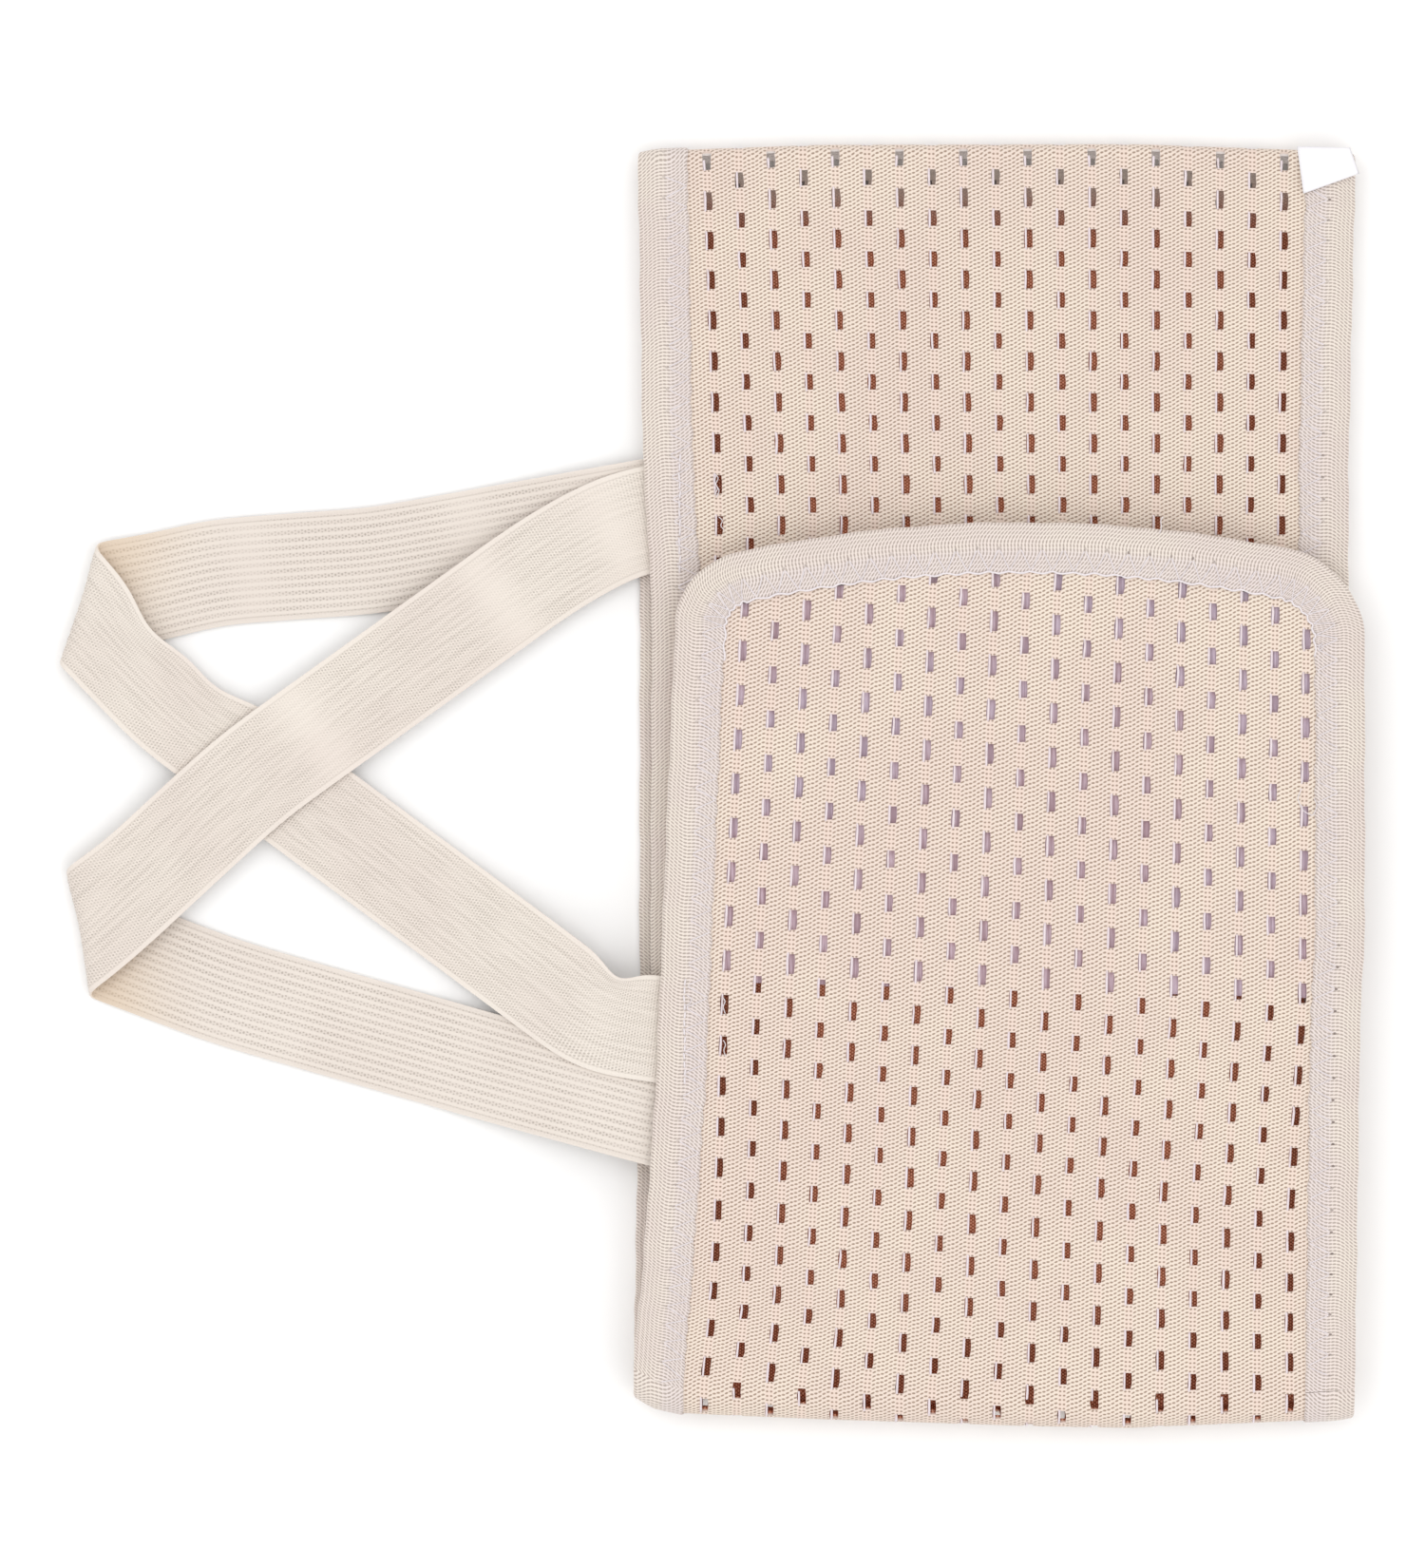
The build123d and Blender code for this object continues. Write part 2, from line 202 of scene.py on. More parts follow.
# ---------------------------------------------------------------- mesh making
def new_object(name, verts, faces, materials, uv=None, attributes=None, face_materials=None, sharp=None):
    """A mesh object from points in millimetres, with fabric coordinates and point attributes."""
    mesh = bpy.data.meshes.new(name)
    mesh.from_pydata((np.asarray(verts, float) * MM).tolist(), [], [list(map(int, f)) for f in faces])
    mesh.update()
    for material in materials:
        mesh.materials.append(material)
    if uv is not None:
        layer = mesh.uv_layers.new(name="fabric")
        index = np.zeros(len(mesh.loops), np.int32)
        mesh.loops.foreach_get("vertex_index", index)
        layer.data.foreach_set("uv", np.asarray(uv, np.float32)[index].ravel())
    for key, values in (attributes or {}).items():
        attribute = mesh.attributes.new(key, "FLOAT", "POINT")
        attribute.data.foreach_set("value", np.asarray(values, np.float32))
    if face_materials is not None:
        mesh.polygons.foreach_set("material_index", np.asarray(face_materials, np.int32))
    mesh.polygons.foreach_set("use_smooth", np.ones(len(mesh.polygons), bool))
    tidied = bmesh.new()
    tidied.from_mesh(mesh)
    bmesh.ops.remove_doubles(tidied, verts=tidied.verts, dist=1e-7)
    bmesh.ops.recalc_face_normals(tidied, faces=tidied.faces)
    tidied.to_mesh(mesh)
    tidied.free()
    if sharp is not None:
        mesh.set_sharp_from_angle(angle=math.radians(sharp))
    obj = bpy.data.objects.new(name, mesh)
    bpy.context.scene.collection.objects.link(obj)
    return obj


def closed_sheet(rows, columns):
    """Faces of a grid of points over a second one: the top's, then the underside's with the walls'."""
    total = rows * columns
    index = np.arange(total).reshape(rows, columns)
    corners = (index[:-1, :-1], index[1:, :-1], index[1:, 1:], index[:-1, 1:])
    top = np.stack([f.ravel() for f in corners], 1)
    ring = np.array([*index[:, 0], *index[-1, 1:], *index[-2::-1, -1], *index[0, -2:0:-1]])
    following = np.roll(ring, -1)
    walls = np.stack([following, ring, ring + total, following + total], 1)
    return top, np.concatenate([top[:, ::-1] + total, walls])


class Parts:
    """Gathers small meshes into one."""

    def __init__(self):
        self.verts, self.faces, self.uv = [], [], []
        self.count = 0

    def add(self, verts, faces, uv):
        self.verts.append(np.asarray(verts, float))
        self.uv.append(np.asarray(uv, float))
        self.faces += [tuple(i + self.count for i in face) for face in faces]
        self.count += len(verts)

    def tube(self, points, radius, sides=6, flat=1.0, up=(0, 0, 1)):
        """A closed tube along points; radius is one value or one for each point."""
        points = np.asarray(points, float)
        radii = np.broadcast_to(radius, len(points))
        along = np.gradient(points, axis=0)
        along /= np.linalg.norm(along, axis=1)[:, None] + 1e-12
        side = np.cross(np.broadcast_to(up, points.shape), along)
        short = np.linalg.norm(side, axis=1) < 1e-6
        side[short] = (1, 0, 0)
        side /= np.linalg.norm(side, axis=1)[:, None]
        over = np.cross(along, side)
        verts, uv, faces = [], [], []
        run = np.concatenate([[0], np.cumsum(np.linalg.norm(np.diff(points, axis=0), axis=1))])
        for i, point in enumerate(points):
            for k in range(sides):
                angle = 2 * math.pi * k / sides
                ring = side[i] * math.cos(angle) + over[i] * math.sin(angle) * flat
                verts.append(point + ring * radii[i])
                uv.append((angle * 0.3, run[i]))
        for i in range(len(points) - 1):
            for k in range(sides):
                m = (k + 1) % sides
                a, b = i * sides + k, i * sides + m
                faces.append((a, b, b + sides, a + sides))
        faces.append(tuple(reversed(range(sides))))
        last = (len(points) - 1) * sides
        faces.append(tuple(range(last, last + sides)))
        self.add(verts, faces, uv)

    def build(self, name, materials, sharp=None):
        verts = np.concatenate(self.verts)
        return new_object(name, verts, self.faces, materials, np.concatenate(self.uv), sharp=sharp)


# ---------------------------------------------------------------- materials
STUDIO_GAIN = 1.14  # how much brighter than white the studio lights a white sheet


def srgb(red, green, blue):
    """The linear colour that looks like this display colour, 0 to 255, in the studio's light."""
    shares = [c / 255 for c in (red, green, blue)]
    linear = [c / 12.92 if c <= 0.04045 else ((c + 0.055) / 1.055) ** 2.4 for c in shares]
    return (*(c / STUDIO_GAIN for c in linear), 1.0)


class Graph:
    """A material and short calls that add nodes to it."""

    def __init__(self, name, roughness=0.8, sheen=0.0, specular=0.3):
        self.material = bpy.data.materials.new(name)
        self.material.use_nodes = True
        self.tree = self.material.node_tree
        self.shader = self.tree.nodes["Principled BSDF"]
        self.shader.inputs["Roughness"].default_value = roughness
        self.shader.inputs["Specular IOR Level"].default_value = specular
        self.shader.inputs["Sheen Weight"].default_value = sheen
        self.shader.inputs["Sheen Roughness"].default_value = 0.5

    def put(self, value, socket):
        if isinstance(value, bpy.types.NodeSocket):
            self.tree.links.new(value, socket)
        else:
            socket.default_value = value

    def math(self, operation, a, b=0.0, c=0.0):
        node = self.tree.nodes.new("ShaderNodeMath")
        node.operation = operation
        for value, socket in zip((a, b, c), node.inputs):
            self.put(value, socket)
        return node.outputs[0]

    def plus(self, a, b):
        return self.math("ADD", a, b)

    def minus(self, a, b):
        return self.math("SUBTRACT", a, b)

    def times(self, a, b):
        return self.math("MULTIPLY", a, b)

    def over(self, a, b):
        return self.math("DIVIDE", a, b)

    def smooth(self, value, low, high, out_low=0.0, out_high=1.0):
        node = self.tree.nodes.new("ShaderNodeMapRange")
        node.interpolation_type = "SMOOTHSTEP"
        names = ("Value", "From Min", "From Max", "To Min", "To Max")
        for name, given in zip(names, (value, low, high, out_low, out_high)):
            self.put(given, node.inputs[name])
        return node.outputs["Result"]

    def mix(self, factor, a, b, blend="MIX"):
        node = self.tree.nodes.new("ShaderNodeMix")
        node.data_type = "RGBA"
        node.blend_type = blend
        self.put(factor, node.inputs[0])
        self.put(a, node.inputs[6])
        self.put(b, node.inputs[7])
        return node.outputs[2]

    def noise(self, scale, detail=2.0, vector=None):
        node = self.tree.nodes.new("ShaderNodeTexNoise")
        node.inputs["Scale"].default_value = scale
        node.inputs["Detail"].default_value = detail
        self.put(vector if vector is not None else self.place(), node.inputs["Vector"])
        return node.outputs["Fac"]

    def vector(self, x, y):
        node = self.tree.nodes.new("ShaderNodeCombineXYZ")
        self.put(x, node.inputs[0])
        self.put(y, node.inputs[1])
        return node.outputs[0]

    def place(self):
        return self.tree.nodes.new("ShaderNodeTexCoord").outputs["Object"]

    def fabric(self):
        """Fabric coordinates in millimetres: across and along."""
        node = self.tree.nodes.new("ShaderNodeUVMap")
        node.uv_map = "fabric"
        split = self.tree.nodes.new("ShaderNodeSeparateXYZ")
        self.tree.links.new(node.outputs[0], split.inputs[0])
        return split.outputs[0], split.outputs[1]

    def axes(self):
        split = self.tree.nodes.new("ShaderNodeSeparateXYZ")
        self.tree.links.new(self.place(), split.inputs[0])
        return split.outputs[0], split.outputs[1], split.outputs[2]

    def attribute(self, name):
        node = self.tree.nodes.new("ShaderNodeAttribute")
        node.attribute_name = name
        return node.outputs["Fac"]

    def wave(self, value, period):
        """0 at whole periods and 1 half way between them."""
        turned = self.times(value, 2 * math.pi / period)
        return self.math("MULTIPLY_ADD", self.math("COSINE", turned), -0.5, 0.5)

    def dashes(self, x, y, pitch, half, slope, stagger=0.5):
        """1 inside short dashes set in staggered columns, 0 between them."""
        column = self.over(x, pitch[0])
        odd = self.math("PINGPONG", self.math("FLOOR", column), 1.0)
        across = self.times(self.minus(self.math("FRACT", column), 0.5), pitch[0])
        sheared = self.math("MULTIPLY_ADD", across, slope, y)
        row = self.math("MULTIPLY_ADD", odd, stagger, self.over(sheared, pitch[1]))
        along = self.times(self.minus(self.math("FRACT", row), 0.5), pitch[1])
        far_x = self.math("POWER", self.over(across, half[0]), 2.0)
        far_y = self.math("POWER", self.over(along, half[1]), 2.0)
        return self.smooth(self.plus(far_x, far_y), 0.35, 1.6, 1.0, 0.0)

    def finish(self, colour, height=None, strength=0.5, distance=0.0002):
        self.put(colour, self.shader.inputs["Base Color"])
        if height is not None:
            bump = self.tree.nodes.new("ShaderNodeBump")
            bump.inputs["Strength"].default_value = strength
            bump.inputs["Distance"].default_value = distance
            self.tree.links.new(height, bump.inputs["Height"])
            self.tree.links.new(bump.outputs[0], self.shader.inputs["Normal"])
        return self.material


def panel_material():
    g = Graph("perforated_elastic", roughness=0.85, sheen=0.1)
    x, y = g.fabric()
    depth = g.attribute("depth")
    painted_rim_highlight = g.attribute("painted_rim_highlight")
    turn = g.math("FRACT", g.plus(g.over(x, COLUMN_PITCH), 0.5))
    in_column = g.smooth(g.math("ABSOLUTE", g.minus(turn, 0.5)), 0.10, 0.15, 1.0, 0.0)
    pitch = (COLUMN_PITCH / 8, ROW_PITCH / 10)
    chevron = g.times(g.wave(x, COLUMN_PITCH / 2), 0.3)
    woven = g.dashes(x, g.plus(y, chevron), pitch, (0.48, 0.25), 0.28)
    plain = g.dashes(x, y, pitch, (0.34, 0.25), 0.0, 0.0)
    dash = g.mix(in_column, woven, plain)
    blotch = g.smooth(g.noise(28.0, 3.0), 0.35, 0.65)
    fine = g.noise(900.0, 2.0)
    cream = g.mix(blotch, srgb(243, 228, 213), srgb(240, 222, 210))
    cream = g.mix(g.times(in_column, 0.5), cream, srgb(238, 214, 202))
    # Painted highlight: the cloth is paler round the rims of the holes.
    cream = g.mix(g.times(painted_rim_highlight, 0.35), cream, srgb(248, 232, 222))
    dark = g.mix(fine, srgb(138, 112, 92), srgb(176, 150, 130))
    cloth = g.mix(g.times(dash, 0.85), cream, dark)
    # Painted shade: the inner face of the cloth, seen through the holes, is brown with reddish streaks for
    # the shade between the plies; near the centre fold it turns grey to white as painted light coming in
    # round the fold.
    streak = g.dashes(x, y, (COLUMN_PITCH / 14, 0.9), (0.26, 0.3), 0.0)
    painted_inner_shade = g.mix(streak, srgb(176, 98, 66), srgb(244, 184, 154))
    _, far, _ = g.axes()
    near_fold = g.smooth(far, (CENTRE_Y - 30) * MM, (CENTRE_Y - 3) * MM)
    near_fold = g.times(near_fold, near_fold)
    at_fold = g.smooth(far, (CENTRE_Y - 4) * MM, (CENTRE_Y - 0.5) * MM)
    painted_fold_light = g.mix(at_fold, srgb(205, 193, 181), srgb(236, 232, 230))
    inside = g.mix(near_fold, painted_inner_shade, painted_fold_light)
    within = g.smooth(depth, 0.2, 0.8)
    colour = g.mix(within, cloth, inside)
    # Painted light: the inner face also glows faintly, brown and near the centre fold grey, for light that
    # shines through the thin cloth into the holes.
    through = g.mix(streak, (0.012, 0.003, 0.001, 1), (0.07, 0.025, 0.014, 1))
    through = g.mix(near_fold, through, (0.09, 0.08, 0.075, 1))
    g.put(g.mix(within, (0, 0, 0, 1), through), g.shader.inputs["Emission Color"])
    g.shader.inputs["Emission Strength"].default_value = 1.0
    height = g.minus(g.times(fine, 0.25), dash)
    return g.finish(colour, height, 0.6, 0.00024)


def binding_material():
    g = Graph("binding_tape", roughness=0.75, sheen=0.15)
    across, along = g.fabric()
    band = g.times(g.wave(across, 9.6), 1.5)
    dash = g.dashes(across, g.plus(along, band), (1.18, 1.0), (0.55, 0.25), 0.35)
    blotch = g.smooth(g.noise(45.0, 3.0), 0.38, 0.62)
    inner = g.smooth(across, 6.5, 9.0)
    cream = g.mix(blotch, srgb(241, 230, 220), srgb(238, 225, 218))
    cream = g.mix(g.times(inner, 0.55), cream, srgb(234, 222, 222))
    fine = g.noise(1100.0, 2.0)
    yarn = g.mix(fine, srgb(150, 134, 122), srgb(188, 172, 162))
    cloth = g.mix(g.times(dash, 0.8), cream, yarn)
    phase = g.math("FRACT", g.plus(g.over(along, ZIGZAG_PERIOD), 0.5))
    step = g.times(g.minus(phase, 0.5), ZIGZAG_PERIOD)
    out = g.minus(across, ZIGZAG_OUTER - 0.15)
    along_share = g.math("POWER", g.over(step, 0.36), 2.0)
    across_share = g.math("POWER", g.over(out, 0.5), 2.0)
    needle = g.smooth(g.plus(along_share, across_share), 0.4, 1.3, 1.0, 0.0)
    right, _, _ = g.axes()
    patchy = g.smooth(g.noise(30.0, 2.0), 0.35, 0.6, 0.3, 1.0)
    clear = g.times(patchy, g.smooth(right, 0.0, 0.12, 0.4, 1.0))
    needle = g.times(needle, clear)
    colour = g.mix(g.times(needle, 0.85), cloth, srgb(108, 92, 86))
    height = g.minus(g.times(fine, 0.2), g.plus(dash, needle))
    return g.finish(colour, height, 0.55, 0.0002)


def strap_material(name, ribbed):
    """One face of the strap elastic: wide ribs with rows of dots between them, or fine dots all over."""
    g = Graph(name, roughness=0.65, sheen=0.15)
    across, along = g.fabric()
    fine = g.noise(1300.0, 2.0)
    blotch = g.smooth(g.noise(24.0, 2.0), 0.35, 0.65)
    light = srgb(232, 222, 213) if ribbed else srgb(241, 232, 222)
    dull = srgb(228, 217, 208) if ribbed else srgb(237, 226, 217)
    cream = g.mix(blotch, light, dull)
    kept = g.attribute("kept")
    streaks = g.noise(1.0, 2.0, g.vector(g.times(across, 0.9), g.times(along, 0.07)))
    grain = g.smooth(streaks, 0.35, 0.65, 0.6, 1.0)
    if ribbed:
        rib = g.wave(across, RIB_PITCH)
        row = g.times(g.smooth(rib, 0.25, 0.6), 0.9)
        dot = g.dashes(along, across, (0.95, RIB_PITCH / 2), (0.28, 0.34), 0.0)
        mark = g.times(row, g.math("MULTIPLY_ADD", dot, 0.8, 0.15))
        cream = g.mix(g.times(g.minus(1.0, rib), 0.35), cream, srgb(242, 233, 223))
    else:
        dot = g.dashes(along, across, (0.82, 0.86), (0.26, 0.3), 0.3)
        mark = g.math("MAXIMUM", g.times(dot, 0.8), g.times(g.wave(across, RIB_PITCH), 0.28))
    mark = g.times(g.times(mark, grain), kept)
    height = g.minus(g.times(fine, 0.2), mark)
    from_edge = g.minus(STRAP_W / 2, g.math("ABSOLUTE", across))
    edge = g.smooth(from_edge, 1.0, 1.5, 1.0, 0.0)
    groove = g.times(g.smooth(from_edge, 1.2, 1.5), g.smooth(from_edge, 1.5, 1.9, 1.0, 0.0))
    mark = g.math("MAXIMUM", g.times(mark, g.minus(1.0, edge)), g.times(groove, 0.35))
    cloth = g.mix(g.times(mark, 0.85), cream, g.mix(fine, srgb(150, 140, 130), srgb(186, 174, 162)))
    colour = g.mix(g.times(edge, 0.15), cloth, srgb(240, 231, 222))
    # Painted shade: the face inside a strap's roll turns warm tan near the turn.
    colour = g.mix(g.times(g.attribute("painted_roll_shade"), 0.5), colour, srgb(222, 194, 158))
    return g.finish(colour, height, 0.5, 0.0002)


def thread_material():
    g = Graph("white_thread", roughness=0.5, sheen=0.3)
    across, along = g.fabric()
    twist = g.wave(g.plus(along, across), 0.45)
    colour = g.mix(twist, srgb(252, 246, 246), srgb(232, 222, 228))
    return g.finish(colour, twist, 0.4, 0.00008)


def yarn_material():
    g = Graph("ladder_yarn", roughness=0.6, sheen=0.2)
    across, along = g.fabric()
    cord = g.wave(g.plus(along, across), 0.6)
    soil = g.noise(500.0, 2.0)
    colour = g.mix(g.times(cord, 0.5), srgb(247, 236, 240), srgb(218, 200, 210))
    colour = g.mix(g.smooth(soil, 0.5, 0.75, 0.0, 0.4), colour, srgb(205, 180, 170))
    return g.finish(colour, cord, 0.4, 0.0001)


def hook_material():
    g = Graph("hook_tape", roughness=0.55, sheen=0.1)
    x, y, _ = g.axes()
    streak = g.noise(1.0, 2.0, g.vector(g.times(x, 1500.0), g.times(y, 60.0)))
    patch = g.smooth(g.noise(14.0, 2.0), 0.4, 0.62)
    base = g.mix(patch, srgb(228, 216, 238), srgb(230, 204, 216))
    low = g.mix(0.5, base, srgb(150, 118, 134))
    high = g.mix(0.5, base, srgb(240, 226, 244))
    colour = g.mix(g.smooth(streak, 0.38, 0.66), low, high)
    return g.finish(colour, streak, 0.4, 0.0002)


def loop_material():
    g = Graph("loop_tape", roughness=0.95, sheen=0.6)
    pile = g.noise(950.0, 4.0)
    tuft = g.noise(120.0, 3.0)
    colour = g.mix(g.smooth(pile, 0.35, 0.65), srgb(214, 196, 184), srgb(247, 236, 226))
    colour = g.mix(g.smooth(tuft, 0.4, 0.7, 0.0, 0.35), colour, srgb(232, 214, 206))
    return g.finish(colour, pile, 0.7, 0.0005)


def label_material():
    g = Graph("label_satin", roughness=0.35, sheen=0.2, specular=0.5)
    x, y, _ = g.axes()
    rib = g.times(g.wave(x, 0.0004), g.wave(y, 0.0005))
    shade = g.noise(90.0, 2.0)
    colour = g.mix(g.times(rib, 0.35), srgb(254, 252, 255), srgb(232, 230, 238))
    colour = g.mix(g.smooth(shade, 0.4, 0.7, 0.0, 0.25), colour, srgb(240, 238, 246))
    return g.finish(colour, rib, 0.3, 0.00005)


def floor_material():
    g = Graph("pale_floor", roughness=0.9, specular=0.1)
    cloud = g.noise(3.0, 2.0)
    return g.finish(g.mix(cloud, (0.93, 0.93, 0.93, 1), (0.95, 0.95, 0.95, 1)))


# ---------------------------------------------------------------- the long fabric, ply by ply
class Stretch:
    """A length of the belt between two places along it.

    place(t) gives y, z and the outside direction for t from 0 to 1. first and last are row numbers at the
    first column. lean is how many rows further on the last column lies, at the start and at the end.
    """

    def __init__(self, name, first, last, place, left, right, columns, lean=(0.0, 0.0)):
        self.name, self.first, self.last = name, first, last
        self.place, self.left, self.right, self.columns, self.lean = place, left, right, columns, lean
        self.flat = "bend" not in name and "fold" not in name

    def row(self, t, column):
        """The row number at t along a column."""
        off = -np.clip(column, 0, COLUMNS - 1) / (COLUMNS - 1)
        start, end = self.lean
        return self.first + (self.last - self.first) * t + off * (start + (end - start) * t)

    def share(self, rows, column):
        """How far along the stretch a row lies on a column."""
        off = -np.clip(column, 0, COLUMNS - 1) / (COLUMNS - 1)
        start, end = self.lean
        return (rows - self.first - off * start) / (self.last - self.first + off * (end - start))

    def column_x(self, y, column):
        """The x of a column, which need not be whole, at y."""
        ys, firsts, lasts = zip(*self.columns)
        first = edge_x(list(zip(ys, firsts)), y)
        last = edge_x(list(zip(ys, lasts)), y)
        return first + (last - first) * column / (COLUMNS - 1)

    def edge_y(self, y):
        """The y at which a side edge is read: a bend keeps the width of its fold."""
        return y if self.name.endswith("_end") else np.clip(y, BOTTOM_Y, CENTRE_Y)


def flat_place(ys, z, outside, rows=(0.0, 1.0)):
    """A flat ply through these ys, which lie at these rows; outside is 1 if its outer face is up."""

    def place(t):
        y = np.interp(rows[0] + (rows[-1] - rows[0]) * t, rows, ys)
        zero = np.zeros_like(y)
        return y, zero + z, zero, zero + outside

    return place


def arc_place(y, z, radius, towards, turn, facing):
    """Half a turn about (y, z). towards is 1 for +Y; turn is 1 from top to bottom; facing 1 is outward."""

    def place(t):
        angle = math.pi / 2 - math.pi * t
        sine = np.sin(angle) * turn
        cosine = np.cos(angle) * towards
        return y + radius * cosine, z + radius * sine, cosine * facing, sine * facing

    return place


def belt_stretches():
    """The seven stretches in order, with row numbers that carry on round every fold."""
    ply_rows = (CENTRE_Y - BOTTOM_Y) / ROW_PITCH
    first = OUTER_ROWS[0][0]
    outer_end = OUTER_ROWS[-1][0]
    back_start = outer_end + math.pi * OUTER_R / ROW_PITCH
    fold_rows = math.pi * CENTRE_R / ROW_PITCH
    near_top = (FRONT_ROW_Y - CENTRE_Y) / ROW_PITCH
    front_start = near_top + round(back_start + ply_rows + fold_rows - near_top)
    back_end = front_start - fold_rows
    front_end = front_start + ply_rows
    inner_start = front_end + math.pi * INNER_R / ROW_PITCH
    inner_end = inner_start + (INNER_PEAK[1] - BOTTOM_Y) / ROW_PITCH
    back_edges = (BACK_LEFT, BACK_RIGHT, BACK_COLUMNS)
    front_edges = (FRONT_LEFT, FRONT_RIGHT, FRONT_COLUMNS)
    outer_edges = (OUTER_LEFT, OUTER_RIGHT, OUTER_COLUMNS)
    inner_edges = (INNER_LEFT, INNER_RIGHT, INNER_COLUMNS)
    outer_arc = arc_place(BOTTOM_Y, BOTTOM_Z, OUTER_R, -1, 1, 1)
    centre_arc = arc_place(CENTRE_Y, CENTRE_Z, CENTRE_R, 1, -1, 1)
    inner_arc = arc_place(BOTTOM_Y, BOTTOM_Z, INNER_R, -1, -1, -1)
    rows, ys = zip(*OUTER_ROWS)
    outer_place = flat_place(ys, Z_OUTER, 1, rows)
    back_place = flat_place((BOTTOM_Y, CENTRE_Y), Z_BACK, -1)
    front_place = flat_place((CENTRE_Y, BOTTOM_Y), Z_FRONT, 1)
    inner_place = flat_place((BOTTOM_Y, INNER_PEAK[1]), Z_INNER, -1)
    stretches = [
        Stretch("outer_end", first, outer_end, outer_place, *outer_edges, (LEAN, LEAN)),
        Stretch("outer_bend", outer_end, back_start, outer_arc, *outer_edges, (LEAN, LEAN)),
        Stretch("back", back_start, back_end, back_place, *back_edges, (LEAN, 0.0)),
        Stretch("centre_fold", back_end, front_start, centre_arc, *back_edges),
        Stretch("front", front_start, front_end, front_place, *front_edges),
        Stretch("inner_bend", front_end, inner_start, inner_arc, *front_edges),
        Stretch("inner_end", inner_start, inner_end, inner_place, *inner_edges),
    ]
    return {stretch.name: stretch for stretch in stretches}


def row_lines(first, last, fine):
    """Grid lines along the fabric: the ends and thirds of every hole, and even ones where it bends."""
    marks = [s * EVEN_HALF / d for s in (-1, 1) for d in (1, 3)]
    marks += [0.5 + s * ODD_HALF / d for s in (-1, 1) for d in (1, 3)]
    lines = [n + m for n in range(math.floor(first) - 1, math.ceil(last) + 2) for m in marks]
    lines = [v for v in lines if first + 0.02 < v < last - 0.02]
    for extra in np.linspace(first, last, fine + 1)[1:-1]:
        if all(abs(extra - v) > 0.02 for v in lines):
            lines.append(float(extra))
    return np.array([first, *sorted(lines), last])


def from_hole(rows, even):
    """How far each row number is from the middle of the nearest hole, for even or odd columns."""
    shifted = np.asarray(rows, float) + (0.0 if even else 0.5)
    return np.abs(shifted - np.round(shifted))


def relief(name, x, y, left, right):
    """How far a flat ply stands off its level: a slow swell, and a sag towards the other ply of its pair."""
    share = np.clip((x - left) / (right - left), 0, 1)
    ends = np.clip(np.minimum(y - BOTTOM_Y, CENTRE_Y - y) / 40, 0, 1)
    wave = np.sin(x * 0.055 + 0.4) * np.sin(y * 0.043 + 1.1) + 0.5 * np.sin(x * 0.11 - y * 0.07)
    swell = 0.28 * wave * np.sin(math.pi * share) * ends
    top = OUTER_PEAK[1] - BINDING_W if name.endswith("_end") else CENTRE_Y
    room = smoothstep(np.minimum(x - left, right - x), BINDING_W, 46) * smoothstep(y - BOTTOM_Y, 5, 34)
    room = room * smoothstep(top - y, 0, 30)
    return swell + SAG * room * (1 if name in ("back", "inner_end") else -1)


def grid_columns():
    """The lines across the belt: nearest column, distance from it, side, and share of an edge strip."""
    shares = np.linspace(0, 1, EDGE_LINES + 1)[:-1]
    offsets = (-SHOULDER, -HOLE_HALF_WIDTH, HOLE_HALF_WIDTH, SHOULDER)
    lines = [(0, -SHOULDER, -1, share) for share in shares]
    lines += [(column, offset, 0, 1.0) for column in range(COLUMNS) for offset in offsets]
    lines += [(COLUMNS - 1, SHOULDER, 1, share) for share in shares[::-1]]
    return [np.array(values, float) for values in zip(*lines)]


def panel_grid(stretch):
    """Points, outside directions, fabric coordinates and row lines of one stretch."""
    column, offset, side, share = grid_columns()
    ends = [stretch.row(t, k) for t in (0.0, 1.0) for k in (0, COLUMNS - 1)]
    rows = row_lines(min(ends), max(ends), 4 if stretch.flat else 16)
    t = np.clip(stretch.share(rows[:, None], column), 0, 1)
    y, z, ny, nz = stretch.place(t)
    edge_y = stretch.edge_y(y)
    left = edge_x(stretch.left, edge_y)
    right = edge_x(stretch.right, edge_y)
    base = stretch.column_x(edge_y, column) + HOLE_SHIFT + offset
    near_left = left + PANEL_INSET
    near_right = right - PANEL_INSET
    x = np.where(side < 0, near_left + (base - near_left) * share, near_right + (base - near_right) * share)
    first = stretch.column_x(edge_y, 0) + HOLE_SHIFT
    last = stretch.column_x(edge_y, COLUMNS - 1) + HOLE_SHIFT
    across = (x - first) / (last - first) * (COLUMNS - 1) * COLUMN_PITCH
    along = stretch.row(t, column) * ROW_PITCH
    if stretch.flat:
        z = z + relief(stretch.name, x, y, left, right)
    return rows, t, np.stack([x, y, z], -1), np.stack([0 * ny, ny, nz], -1), np.stack([across, along], -1)


